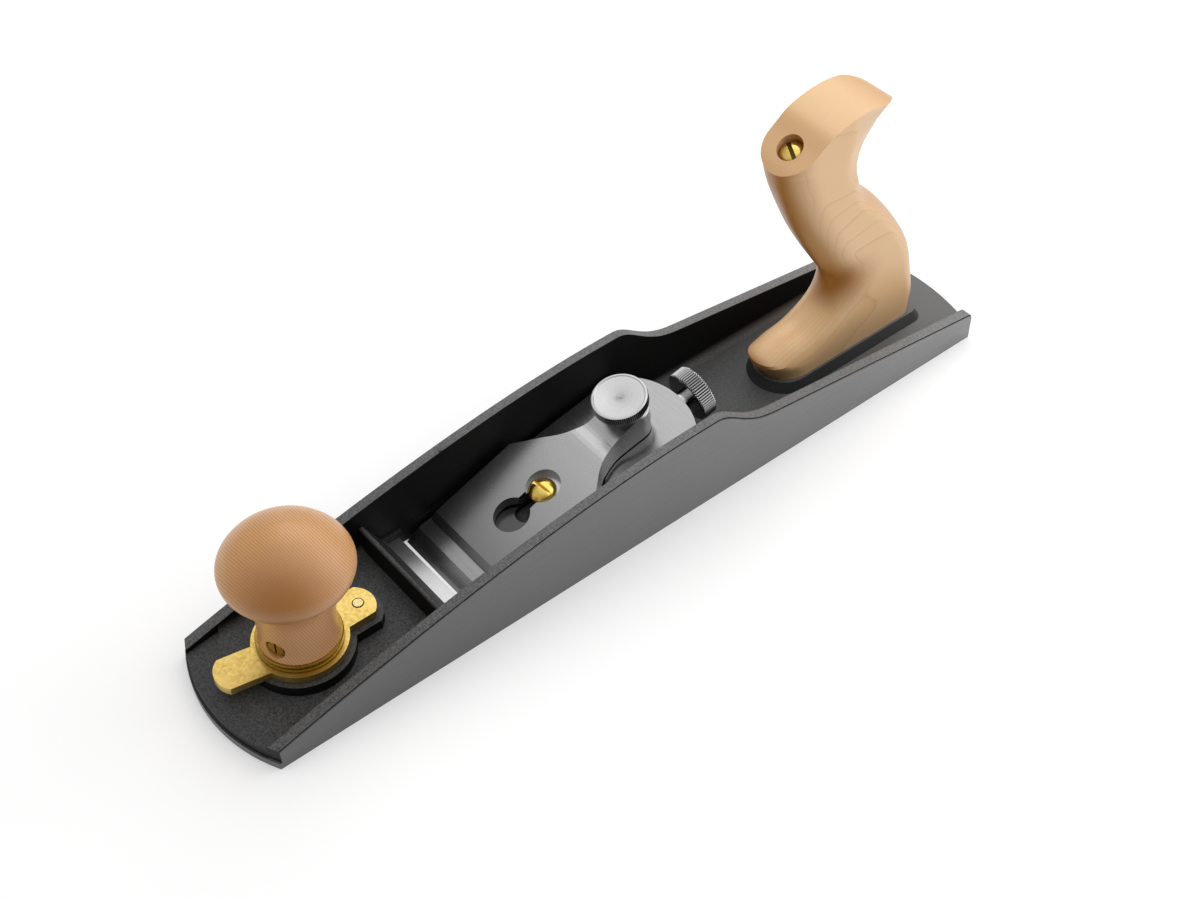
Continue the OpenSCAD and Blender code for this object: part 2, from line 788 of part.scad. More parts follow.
module thumbscrew_stud() {
    color("#8d9092") along_bed(thumb_s, blade_top)
        translate([0, 0, cap_lift]) cylinder(r = thumb_stud_r, h = arm_h + collar_h + thumb_t - 2 - cap_lift);
}

module lever_cap_screw() {
    seat = blade_top + cap_line(cap_screw_s) - recess_deep + lay;
    dome_h = dome_r - sqrt(dome_r * dome_r - cap_head_r * cap_head_r);
    rim = 0.6;
    color("#c7a23c") along_bed(cap_screw_s, 0) difference() {
        union() {
            translate([0, 0, -screw_deep]) cylinder(r = cap_screw_r, h = seat + screw_deep + 0.1);
            translate([0, 0, seat]) cylinder(r = cap_head_r, h = rim);
            intersection() {
                translate([0, 0, seat + rim + dome_h - dome_r]) sphere(r = dome_r, $fn = 96);
                translate([0, 0, seat + rim - 0.1]) cylinder(r = cap_head_r, h = 10);
            }
        }
        rotate(screw_slot_turn) translate([-cap_head_r - 1, -screw_slot_w / 2, seat + rim + dome_h - 1.7])
            cube([2 * cap_head_r + 2, screw_slot_w, 6]);
    }
}

// Blade adjuster

module adjuster_wheel() {
    edge = 0.5;
    color("#b9bbbd") along_bed(0, -spindle_depth) difference() {
        translate([wheel_s, 0, 0]) rotate([0, 90, 0]) rotate_extrude($fn = 96) polygon([
            [0, 0], [wheel_r - edge, 0], [wheel_r, edge], [wheel_r, wheel_t - edge],
            [wheel_r - edge, wheel_t], [wheel_r - 2, wheel_t], [wheel_r - 2.4, wheel_t - 0.4],
            [0, wheel_t - 0.4]
        ]);
        translate([wheel_s - 1, 0, 0]) rod_x(spindle_r, wheel_t + 2);
    }
}

module adjuster_spindle() {
    neck_s = yoke_s - 1.9;
    color("#a7a9ab") along_bed(0, -spindle_depth) {
        translate([spindle_front_s, 0, 0]) rod_x(spindle_r, neck_s - spindle_front_s);
        translate([neck_s - 0.1, 0, 0]) rod_x(spindle_r - neck_in, wheel_s - hub_l - neck_s + 0.2);
        translate([wheel_s - hub_l, 0, 0]) rod_x(hub_r, hub_l);
        translate([wheel_s - 0.1, 0, 0]) rod_x(spindle_r, wheel_t - 0.3);
    }
}

module adjuster_yoke() {
    color("#7c7f82") along_bed(0, 0) {
        difference() {
            translate([yoke_s, -yoke_half_w, -yoke_h]) cube([yoke_l, 2 * yoke_half_w, yoke_h - 0.15]);
            translate([yoke_s - 1, 0, -spindle_depth]) rod_x(spindle_r - neck_in + fit, yoke_l + 2);
        }
        translate([yoke_s + 0.3 + (groove_w - tongue_w) / 2, -tongue_half_w, -0.2])
            cube([tongue_w, 2 * tongue_half_w, groove_deep]);
    }
}

module adjuster_clip() {
    color("#8d9092") along_bed(yoke_s - loose - clip_t, -spindle_depth) difference() {
        rod_x(clip_r, clip_t);
        translate([-1, 0, 0]) rod_x(spindle_r - neck_in, clip_t + 2);
    }
}

// Tote and what holds it

module tote_line() {
    translate([nut_x, 0, nut_z]) rotate([0, -rod_lean, 0]) children();
}

tote_f = smooth(tote_front, sub_steps);
tote_b = smooth(tote_back, sub_steps);
crown = smooth(tote_crown, sub_steps);

function edge_distance(p, a, b) =
    let (t = (p - a) * (b - a) / ((b - a) * (b - a)))
    norm(p - a - max(0, min(1, t)) * (b - a));

function line_distance(p, line) =
    min([for (i = [0:len(line) - 2]) edge_distance(p, line[i], line[i + 1])]);

// Half the tote's thickness at a place p of its side view: rounded at front and back, and drawn
// to a keel under the horn
function tote_half(p) =
    let (
        keel = max(0, min(1, (p.y - keel_z) / keel_rise)),
        front = max(0, 1 - line_distance(p, tote_f) / front_round),
        back = max(0, 1 - line_distance(p, tote_b) / (back_round + keel_round * keel)),
        full = tote_half_w + tote_swell * p.y / tote_crown[0].y
    )
    full * min(sqrt(1 - front * front), (1 - keel) * sqrt(1 - back * back) + keel * (1 - back));

// A closed ring round the tote from its front f to its back b; the top one follows the crown
function ring(f, b, top) =
    let (
        n = ring_steps,
        line = [for (k = [0:n]) let (c = f + (b - f) * (1 - cos(180 * k / n)) / 2)
            [c.x, top ? lookup(c.x, crown) : c.y]],
        half = [for (k = [0:n]) k == 0 || k == n ? 0 : tote_half(line[k])]
    )
    concat(
        [for (k = [0:n]) [line[k].x, -half[k], line[k].y]],
        [for (k = [n - 1:-1:1]) [line[k].x, half[k], line[k].y]]
    );

module tote_form() {
    rows = len(tote_f);
    rings = [for (i = [0:rows - 1]) ring(tote_f[i], tote_b[i], i == 0)];
    m = 2 * ring_steps;
    sides = [for (i = [0:rows - 2]) for (j = [0:m - 1])
        let (a = i * m + j, b = i * m + (j + 1) % m) [a, a + m, b + m, b]];
    caps = [for (r = [0, rows - 1]) for (j = [0:ring_steps - 1])
        let (a = r * m + j, b = r * m + j + 1, c = r * m + (m - j - 1) % m, d = r * m + (m - j) % m)
        r == 0 ? [a, b, c, d] : [d, c, b, a]];
    polyhedron([for (r = rings) for (p = r) p], concat(sides, caps), convexity = 6);
}

module rear_tote() {
    color("#e3bd93") difference() {
        translate([tote_x, 0, 0]) tote_form();
        tote_line() translate([0, 0, -nut_sunk]) cylinder(r = nut_hole_r, h = 20);
        tote_line() translate([0, 0, -nut_sunk - nut_l - 4]) cylinder(r = nut_body_r, h = nut_l + 10);
        tote_line() translate([0, 0, -rod_l]) cylinder(r = rod_r, h = rod_l);
        translate([pin_x, 0, 0]) cylinder(r = peg_r, h = peg_top);
    }
}

module tote_rod() {
    color("#8d9092") tote_line() translate([0, 0, -rod_l]) cylinder(r = rod_r, h = rod_l - nut_sunk - 4);
}

module tote_barrel_nut() {
    color("#c7a23c") tote_line() translate([0, 0, -nut_sunk]) difference() {
        union() {
            cylinder(r = nut_r, h = nut_head_t);
            translate([0, 0, -nut_l]) cylinder(r = nut_body_r, h = nut_l + 0.1);
        }
        translate([0, 0, -nut_l - 1]) cylinder(r = rod_r, h = nut_l + 1 - nut_wall_end - 1);
        rotate(nut_slot_turn) translate([-nut_r - 1, -nut_slot_w / 2, nut_head_t / 2])
            cube([2 * nut_r + 2, nut_slot_w, nut_head_t]);
    }
}

module tote_peg() {
    color("#8d9092") translate([pin_x, 0, rear_floor - 2])
        cylinder(r = peg_r, h = peg_top - rear_floor + 2);
}

body_casting();
toe_plate();
knob_stud();
mouth_lever();
lever_pivot_pin();
knob_ferrule();
front_knob();
knob_insert();
knob_lock_screw();
blade();
lever_cap();
thumbscrew_knob();
thumbscrew_stud();
lever_cap_screw();
adjuster_wheel();
adjuster_spindle();
adjuster_yoke();
adjuster_clip();
rear_tote();
tote_rod();
tote_barrel_nut();
tote_peg();
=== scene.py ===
# %% [markdown]
# A low angle jack plane is a long iron bench plane. Its blade lies bevel up on a bed of only
# twelve degrees, under a steel lever cap. A wooden knob and a wooden tote are the handles.
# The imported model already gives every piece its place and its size, so this lesson only does
# the looks: finer meshes where the model is coarse, finishes, light and the camera.

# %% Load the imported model
import math
import bpy
import numpy as np
from mathutils import Matrix, Vector


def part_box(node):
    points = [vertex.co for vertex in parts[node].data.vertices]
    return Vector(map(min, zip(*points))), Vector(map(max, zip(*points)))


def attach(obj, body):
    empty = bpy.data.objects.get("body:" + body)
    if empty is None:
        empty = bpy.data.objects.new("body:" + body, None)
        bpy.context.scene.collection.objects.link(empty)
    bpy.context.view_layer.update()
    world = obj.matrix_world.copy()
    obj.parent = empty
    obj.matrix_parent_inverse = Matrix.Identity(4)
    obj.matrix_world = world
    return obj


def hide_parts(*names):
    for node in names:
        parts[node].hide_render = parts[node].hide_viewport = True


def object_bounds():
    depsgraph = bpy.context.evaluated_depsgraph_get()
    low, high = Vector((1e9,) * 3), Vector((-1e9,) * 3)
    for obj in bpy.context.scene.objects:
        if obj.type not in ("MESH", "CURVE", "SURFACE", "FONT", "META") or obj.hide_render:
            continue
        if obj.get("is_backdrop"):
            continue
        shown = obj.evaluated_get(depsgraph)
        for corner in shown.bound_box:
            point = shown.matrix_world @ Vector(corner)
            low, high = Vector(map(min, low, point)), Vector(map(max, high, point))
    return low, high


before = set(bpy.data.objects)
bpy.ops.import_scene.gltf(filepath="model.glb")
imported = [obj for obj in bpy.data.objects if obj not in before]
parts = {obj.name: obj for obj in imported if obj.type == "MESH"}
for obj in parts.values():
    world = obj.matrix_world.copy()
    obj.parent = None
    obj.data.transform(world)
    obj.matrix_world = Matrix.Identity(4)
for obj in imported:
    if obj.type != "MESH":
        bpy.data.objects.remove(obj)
cad_box = [list(corner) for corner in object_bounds()]
MM = 0.001
print("pieces in the packed model:", len(parts))

# %% [markdown]
# The camera comes first, because every later look depends on it. It stands ahead of the toe on
# the near side, about forty-six degrees up, with a longish lens. Its place is written as a
# target on the plane, a distance and three angles, which is easier to change than a matrix.

# %% Set up the camera
TARGET = Vector((-1.32, 1.14, 20.0)) * MM
DISTANCE = 724.89 * MM
AZIMUTH, ELEVATION, ROLL = math.radians(-38.9), math.radians(46.57), math.radians(-0.4)
SENSOR_WIDTH, LENS = 36, 56.616
NEAREST, FARTHEST = 0.05, 20


def direction(azimuth, elevation):
    """Unit vector from the object towards something at these angles."""
    flat = math.cos(elevation)
    return Vector((math.sin(azimuth) * flat, -math.cos(azimuth) * flat, math.sin(elevation)))


def aim(thing, back, distance, roll=0.0):
    """Places a camera or a lamp so that it looks along minus back at the target."""
    side = (-back).cross(Vector((0, 0, 1))).normalized()
    up = side.cross(-back)
    turned = Matrix((
        side * math.cos(roll) + up * math.sin(roll),
        up * math.cos(roll) - side * math.sin(roll),
        back,
    )).transposed()
    thing.matrix_world = Matrix.Translation(TARGET + back * distance) @ turned.to_4x4()


camera = bpy.data.objects.new("camera", bpy.data.cameras.new("camera"))
camera.data.sensor_width, camera.data.lens = SENSOR_WIDTH, LENS
camera.data.clip_start, camera.data.clip_end = NEAREST, FARTHEST
bpy.context.scene.collection.objects.link(camera)
aim(camera, direction(AZIMUTH, ELEVATION), DISTANCE, ROLL)
bpy.context.scene.camera = camera
bpy.context.scene.view_settings.view_transform = "Standard"
print("camera at", [round(v / MM) for v in camera.matrix_world.translation], "mm")

# %% [markdown]
# A studio photograph of metal is mostly a photograph of what the metal reflects. One large soft
# lamp stands low behind the plane, so that level steel mirrors it while the deep trough stays
# dark. A second lamp at the heel's end fills the near side. The world is a tent round both: it
# grows brighter overhead, towards each lamp, and towards the far left, which draws a pale rim
# round the wood. The camera sees plain white instead.

# %% Light the studio


def wire(tree, kind, inputs=None, **settings):
    """Adds a node, with its settings and its inputs: a socket is linked, a value is set."""
    made = tree.nodes.new(kind)
    for name, value in settings.items():
        setattr(made, name, value)
    for name, value in (inputs or {}).items():
        if isinstance(value, bpy.types.NodeSocket):
            tree.links.new(value, made.inputs[name])
        else:
            made.inputs[name].default_value = value
    return made


def number(tree, operation, *values):
    """The result of one maths node; each value is a socket or a number."""
    return wire(tree, "ShaderNodeMath", dict(enumerate(values)), operation=operation).outputs[0]


def vector(tree, operation, *values):
    """The same for vectors; a dot product or a length gives a number."""
    made = wire(tree, "ShaderNodeVectorMath", dict(enumerate(values)), operation=operation)
    return made.outputs["Value" if operation in ("DOT_PRODUCT", "LENGTH") else "Vector"]


def lamp(name, azimuth, elevation, distance, width, height, power):
    """A soft rectangular lamp: angles in degrees, sizes in metres, power in watts."""
    light = bpy.data.lights.new(name, "AREA")
    light.shape, light.size, light.size_y, light.energy = "RECTANGLE", width, height, power
    thing = bpy.data.objects.new(name, light)
    bpy.context.scene.collection.objects.link(thing)
    aim(thing, direction(math.radians(azimuth), math.radians(elevation)), distance)
    return thing


lamps = [
    lamp("back_softbox", 138, 46, 0.9, 0.75, 0.75, 1.7),
    lamp("heel_softbox", 66, 36, 0.6, 0.5, 0.5, 0.85),
]

# The tent's level at its dimmest, and each glow's azimuth, elevation, gain and narrowness.
DIMMEST = 0.1
GLOWS = ((142, 46, 0.5, 4.0), (50, 30, 0.8, 2.0), (-110, 22, 0.6, 2.0), (0, 90, 0.8, 4.0))
world = bpy.data.worlds.new("studio")
bpy.context.scene.world = world
world.use_nodes = True
air = world.node_tree
air.nodes.clear()
ray = wire(air, "ShaderNodeLightPath")
sky = wire(air, "ShaderNodeTexCoord").outputs["Generated"]
level = DIMMEST
for azimuth, elevation, gain, narrow in GLOWS:
    towards = direction(math.radians(azimuth), math.radians(elevation))
    near = vector(air, "DOT_PRODUCT", sky, towards)
    near = number(air, "POWER", number(air, "MAXIMUM", near, 0.0), narrow)
    level = number(air, "MULTIPLY_ADD", near, gain, level)
fill = wire(air, "ShaderNodeBackground", {"Color": (1, 1, 1, 1), "Strength": level})
white = wire(air, "ShaderNodeBackground", {"Color": (1, 1, 1, 1), "Strength": 1.0})
seen = wire(air, "ShaderNodeMixShader", {
    0: ray.outputs["Is Camera Ray"], 1: fill.outputs[0], 2: white.outputs[0]})
wire(air, "ShaderNodeOutputWorld", {"Surface": seen.outputs[0]})
print("lamps:", [thing.name for thing in lamps])

# %% [markdown]
# The floor is a plain pale sheet. The camera has to see it as white with a soft shadow, so its
# material adds a little light of its own. Only camera rays and mirrored rays see that light, so
# the metal shows a white floor and still nothing is lit by it.

# %% Lay the floor


def new_material(name):
    """An empty material and its node tree."""
    material = bpy.data.materials.new(name)
    material.use_nodes = True
    material.node_tree.nodes.clear()
    return material, material.node_tree


def mesh_piece(name, vertices, faces):
    """A new object from vertices in millimetres and faces."""
    mesh = bpy.data.meshes.new(name)
    mesh.from_pydata([Vector(v) * MM for v in vertices], [], faces)
    mesh.validate()
    piece = bpy.data.objects.new(name, mesh)
    bpy.context.scene.collection.objects.link(piece)
    return piece


FLOOR_HALF, FLOOR_Z = 3000, -0.05
FLOOR_GREY, FLOOR_GLOW = 0.82, 0.2
floor = mesh_piece("floor", [
    (-FLOOR_HALF, -FLOOR_HALF, FLOOR_Z), (FLOOR_HALF, -FLOOR_HALF, FLOOR_Z),
    (FLOOR_HALF, FLOOR_HALF, FLOOR_Z), (-FLOOR_HALF, FLOOR_HALF, FLOOR_Z)], [(0, 1, 2, 3)])
pale, tree = new_material("pale_floor")
ray = wire(tree, "ShaderNodeLightPath")
plain = wire(tree, "ShaderNodeBsdfDiffuse", {"Color": (FLOOR_GREY, FLOOR_GREY, FLOOR_GREY, 1)})
glow = wire(tree, "ShaderNodeEmission", {"Color": (1, 1, 1, 1), "Strength": FLOOR_GLOW})
dark = wire(tree, "ShaderNodeEmission", {"Color": (0, 0, 0, 1), "Strength": 0.0})
looked_at = number(tree, "MAXIMUM", ray.outputs["Is Camera Ray"], ray.outputs["Is Glossy Ray"])
seen = wire(tree, "ShaderNodeMixShader", {0: looked_at, 1: dark.outputs[0], 2: glow.outputs[0]})
both = wire(tree, "ShaderNodeAddShader", {0: plain.outputs[0], 1: seen.outputs[0]})
wire(tree, "ShaderNodeOutputMaterial", {"Surface": both.outputs[0]})
floor.data.materials.append(pale)
floor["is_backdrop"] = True
print("floor", 2 * FLOOR_HALF, "mm wide")

# %% [markdown]
# Several finishes share the same effects, so each effect is one node group. The first is grit:
# the skin of a sand casting, a bead blasted cap and the pores of wood are all small lumps of one
# size. The group measures in the piece's own coordinates, so the grain stays on the piece as it
# moves.

# %% Node group for grit


def new_group(name, inputs, outputs):
    """An empty shader group; inputs and outputs map a label to a socket kind and a value."""
    group = bpy.data.node_groups.new(name, "ShaderNodeTree")
    for label, (kind, value) in inputs.items():
        group.interface.new_socket(label, in_out="INPUT", socket_type=kind).default_value = value
    for label in outputs:
        group.interface.new_socket(label, in_out="OUTPUT", socket_type="NodeSocketFloat")
    start = group.nodes.new("NodeGroupInput")
    return group, start.outputs, group.nodes.new("NodeGroupOutput").inputs


def here_in(tree, kind="Object"):
    """The shaded place in the piece's own metres, or its own normal."""
    return wire(tree, "ShaderNodeTexCoord").outputs[kind]


def noise(tree, place, scale, detail, rough):
    """A noise of that many lumps per unit."""
    return wire(tree, "ShaderNodeTexNoise", {
        "Vector": place, "Scale": scale, "Detail": detail, "Roughness": rough}).outputs[0]


FLOAT, VECTOR = "NodeSocketFloat", "NodeSocketVector"
grit, given, result = new_group("grit", {"Per metre": (FLOAT, 2000.0)}, ["Grit"])
grit.links.new(noise(grit, here_in(grit), given[0], 3.0, 0.6), result[0])
print("group:", grit.name)

# %% [markdown]
# The second effect is tool lines: grinding, brushing and turning all leave fine parallel
# scratches. A noise that is stretched far along the scratch gives them. The stretch is a vector,
# so one group serves lines along, across or up the piece.

# %% Node group for tool lines
lines, given, result = new_group(
    "tool_lines", {"Stretch": (VECTOR, (40.0, 4000.0, 4000.0))}, ["Lines"])
drawn = vector(lines, "MULTIPLY", here_in(lines), given[0])
lines.links.new(noise(lines, drawn, 1.0, 2.0, 0.7), result[0])
print("group:", lines.name)

# %% [markdown]
# The third is wear and tarnish: broad soft clouds that vary colour and gloss a little over
# every metal and wood. Without them a finish looks like plastic.

# %% Node group for clouds
clouds, given, result = new_group(
    "clouds", {"Per metre": (FLOAT, 60.0), "Contrast": (FLOAT, 2.0)}, ["Cloud"])
mist = number(clouds, "SUBTRACT", noise(clouds, here_in(clouds), given[0], 4.0, 0.55), 0.5)
mist = wire(clouds, "ShaderNodeMath", {0: number(clouds, "MULTIPLY", mist, given[1]), 1: 0.5},
            operation="ADD", use_clamp=True).outputs[0]
clouds.links.new(mist, result[0])
print("group:", clouds.name)

# %% [markdown]
# The fourth is the growth of wood. A tree lays down one layer a year, so the layers are surfaces
# a little apart, and a shaped piece shows where it cuts through them. Layers that lie flat
# against a side give long ovals there, and straight fine lines where the surface turns across
# them. Here a direction divided by the spacing counts the layers, and a stretched noise makes
# them wander. Each layer ends in a thin darker line. Where the surface cuts across the fibres it
# drinks more oil and goes darker, so the group also tells how much of the end grain shows.

# %% Node group for wood layers
layers, given, result = new_group("wood_layers", {
    "Across": (VECTOR, (0.0, 700.0, 0.0)), "Wander": (FLOAT, 3.0),
    "Wander stretch": (VECTOR, (8.0, 8.0, 16.0)), "Fibre stretch": (VECTOR, (60.0, 2500.0, 2500.0)),
    "Fibre way": (VECTOR, (1.0, 0.0, 0.0)), "Line power": (FLOAT, 7.0),
}, ["Layer", "Line", "Fibre", "End grain"])
across, wander, wander_stretch, fibre_stretch, fibre_way, line_power = list(given)[:6]
place = here_in(layers)
drift = noise(layers, vector(layers, "MULTIPLY", place, wander_stretch), 1.0, 1.5, 0.4)
drift = number(layers, "MULTIPLY", number(layers, "SUBTRACT", drift, 0.5), wander)
count = vector(layers, "DOT_PRODUCT", place, across)
layer = number(layers, "FRACT", number(layers, "ADD", count, drift))
line = number(layers, "POWER", layer, line_power)
edge = number(layers, "MULTIPLY", number(layers, "SUBTRACT", 1.0, layer),
              number(layers, "MULTIPLY", line_power, 2.0))
line = wire(layers, "ShaderNodeMath", {0: line, 1: edge},
            operation="MINIMUM", use_clamp=True).outputs[0]
fibre = noise(layers, vector(layers, "MULTIPLY", place, fibre_stretch), 1.0, 3.0, 0.65)
cut = vector(layers, "DOT_PRODUCT", here_in(layers, "Normal"), fibre_way)
cut = number(layers, "POWER", number(layers, "ABSOLUTE", cut), 2.0)
for value, socket in zip((layer, line, fibre, cut), result):
    layers.links.new(value, socket)
print("group:", layers.name)

# %% [markdown]
# Helpers for the finishes: placing a group, mixing two colours by a mask, and ending a material
# in one Principled shader with a small bump.

# %% Helpers for finishes

# A mix node has sockets for numbers, vectors and colours; these are the factor and the colours.
MIX_INPUTS, MIX_OUTPUT = (0, 6, 7), 2


def effect(tree, group, **inputs):
    """Places a node group with its own values and gives its outputs."""
    made = tree.nodes.new("ShaderNodeGroup")
    made.node_tree = group
    for label, value in inputs.items():
        made.inputs[label.replace("_", " ")].default_value = value
    return made.outputs


def blend_of(tree, factor, first, second):
    """A colour between two colours."""
    mixed = wire(tree, "ShaderNodeMix", data_type="RGBA")
    for index, value in zip(MIX_INPUTS, (factor, first, second)):
        if isinstance(value, bpy.types.NodeSocket):
            tree.links.new(value, mixed.inputs[index])
        else:
            mixed.inputs[index].default_value = value if isinstance(value, float) else (*value, 1)
    return mixed.outputs[MIX_OUTPUT]


def from_axis(tree, point, axis):
    """The arm from an axis to the shaded place, and its length; the point is in metres."""
    arm = vector(tree, "SUBTRACT", here_in(tree), point)
    arm = vector(tree, "SUBTRACT", arm, vector(tree, "PROJECT", arm, axis))
    return arm, vector(tree, "LENGTH", arm)


def between(tree, value, low, high):
    """Maps 0 to 1 of a value to low to high."""
    return wire(tree, "ShaderNodeMapRange", {
        "Value": value, "To Min": low, "To Max": high}).outputs[0]


def share_of(tree, value, low, high, least=0.0, most=1.0, **settings):
    """Maps low to high of a value to least to most."""
    inputs = {"Value": value, "From Min": low, "From Max": high, "To Min": least, "To Max": most}
    return wire(tree, "ShaderNodeMapRange", inputs, **settings).outputs[0]


def finish(tree, colour, roughness, height=None, depth=0.0, metallic=0.0, coat=0.0,
           coat_rough=0.2, specular=0.5, **extra):
    """Ends a material in one shader. depth is the bump's height in millimetres."""
    inputs = {"Base Color": colour, "Roughness": roughness, "Metallic": metallic,
              "Coat Weight": coat, "Coat Roughness": coat_rough, "Specular IOR Level": specular}
    inputs.update(extra)
    if height is not None:
        inputs["Normal"] = wire(tree, "ShaderNodeBump", {
            "Height": height, "Strength": 1.0, "Distance": depth * MM}).outputs[0]
    shader = wire(tree, "ShaderNodeBsdfPrincipled", inputs)
    wire(tree, "ShaderNodeOutputMaterial", {"Surface": shader.outputs[0]})


print("helpers ready")

# %% [markdown]
# The body is one sand casting. It is painted black inside, and ground bare on the outsides, the
# sole and the rim of the toe. The paint is rubbed thin on the tops of the walls, which look grey
# and speckled. The finish is one material that reads the place on the piece: farther out than
# the paint's edge is ground metal, and what faces up above a wall is rubbed. Light from above is
# painted in: the paint is lighter where it lies level, and blackest on the upright faces of the
# trough. Light from the heel's side is painted in too: the paint, the rubbed tops and the ground
# sides all grow paler from toe to heel.

# %% Finish of the body casting
PAINT_EDGE = 31.5
WALL_INSIDE = 27.2
SOLE_SKIN = 0.15
RIM_HEIGHT = 2.9
RIM_WIDTH = 0.4
FACES_UP = 0.75
TOE_CENTRE_X, TOE_RADIUS = -111.8, 66.0
HEEL_CENTRE_X, HEEL_RADIUS = 85.8, 92.0


def step_up(tree, value, edge, soft=0.05):
    """0 below an edge in millimetres and 1 above it."""
    return share_of(tree, value, (edge - soft) * MM, (edge + soft) * MM)


cast_iron, tree = new_material("cast_iron")
x, y, z = wire(tree, "ShaderNodeSeparateXYZ", {0: here_in(tree)}).outputs
y = number(tree, "ABSOLUTE", y)
side = step_up(tree, y, PAINT_EDGE)
sole = number(tree, "SUBTRACT", 1.0, step_up(tree, z, SOLE_SKIN))
low = number(tree, "SUBTRACT", 1.0, step_up(tree, z, RIM_HEIGHT))
rims = []
for centre, radius, way in ((TOE_CENTRE_X, TOE_RADIUS, "LESS_THAN"),
                            (HEEL_CENTRE_X, HEEL_RADIUS, "GREATER_THAN")):
    reach = from_axis(tree, (centre * MM, 0, 0), (0, 0, 1))[1]
    beyond = step_up(tree, reach, radius - RIM_WIDTH)
    rims.append(number(tree, "MULTIPLY", beyond, number(tree, way, x, centre * MM)))
rim = number(tree, "MULTIPLY", number(tree, "MAXIMUM", *rims), low)
ground = number(tree, "MAXIMUM", number(tree, "MAXIMUM", side, sole), rim)
level_up = wire(tree, "ShaderNodeSeparateXYZ", {0: here_in(tree, "Normal")}).outputs[2]
rubbed = number(tree, "MULTIPLY", step_up(tree, y, WALL_INSIDE, 0.3),
                number(tree, "GREATER_THAN", level_up, FACES_UP))
print("places of the paint: side, sole, rims and wall tops")

# %% [markdown]
# With the places known, each of them gets its colour. A grey is written once, as one number, and
# a small helper makes the colour of it.

# %% Colours of the body casting


def grey(level, blue=0.0):
    """A grey, or a slightly blue one."""
    return (level, level, level + blue)


# Where the painted light from the heel's side starts and where it is full, along X.
HEEL_LIGHT_FROM_X, HEEL_LIGHT_TO_X = -110, 150
skin = effect(tree, grit, Per_metre=1600.0)[0]
speck = effect(tree, grit, Per_metre=3200.0)[0]
cloud = effect(tree, clouds, Per_metre=14.0, Contrast=1.6)[0]
scratch = effect(tree, lines, Stretch=(60.0, 3000.0, 2600.0))[0]
# Painted light: a share that grows from toe to heel, so that the paint, the rubbed tops and the
# ground sides are lighter towards the heel.
heel_light_share = share_of(tree, x, HEEL_LIGHT_FROM_X * MM, HEEL_LIGHT_TO_X * MM)
grains = share_of(tree, effect(tree, grit, Per_metre=1300.0)[0], 0.32, 0.68)
# Painted light from above: the paint where it lies level is lighter than on the upright faces, and
# lighter still towards the heel.
upright = blend_of(tree, speck, grey(0.001), grey(0.005))
lit_level_paint = blend_of(tree, grains, grey(0.022, 0.0003), grey(0.078, 0.001))
level_heel_light = number(tree, "MULTIPLY", number(tree, "POWER", heel_light_share, 3.0), 0.8)
lit_level_paint = blend_of(tree, level_heel_light, lit_level_paint, grey(0.17))
paint = blend_of(tree, share_of(tree, level_up, 0.3, 0.95), upright, lit_level_paint)
worn = blend_of(tree, grains, grey(0.05, 0.001), grey(0.14))
# Painted light: the rubbed tops are paler towards the heel.
heel_lit_worn = blend_of(tree, grains, grey(0.18), grey(0.32))
worn = blend_of(tree, between(tree, heel_light_share, 0.0, 0.7), worn, heel_lit_worn)
paint = blend_of(tree, rubbed, paint, worn)
strokes = between(tree, scratch, 0.2, 0.9)
steel = blend_of(tree, strokes, grey(0.12, 0.004), grey(0.18, 0.003))
# Painted light: the ground sides are lighter towards the heel.
bright = blend_of(tree, strokes, grey(0.20, 0.004), grey(0.32, 0.003))
steel = blend_of(tree, heel_light_share, steel, bright)
steel = blend_of(tree, between(tree, cloud, 0.0, 0.2), steel, (0.14, 0.137, 0.134))
colour = blend_of(tree, ground, paint, steel)
gloss = number(tree, "ADD", between(tree, skin, 0.4, 0.58), number(tree, "MULTIPLY", ground, -0.06))
height = number(tree, "ADD", number(tree, "MULTIPLY", skin, between(tree, ground, 1.0, 0.0)),
                number(tree, "MULTIPLY", number(tree, "MULTIPLY", scratch, ground), 0.12))
finish(tree, colour, gloss, height, 0.08, metallic=ground, specular=0.22)
print("finish:", cast_iron.name)

# %% [markdown]
# The steel pieces differ mostly in how they were cut. The blade and the toe plate are ground, the
# cap is bead blasted, and the screws and the wheel are turned. Two of them carry painted shade: a
# round dark patch on the blade where the cap shades it, seen through the cap's keyhole, and a
# darker front on the cap, fading towards its rear.

# %% Finishes of the steel pieces
# The colour of a round patch of painted shade, and its soft edge in millimetres.
CAP_SHADE_COLOUR, CAP_SHADE_EDGE = (0.07, 0.07, 0.072), 2


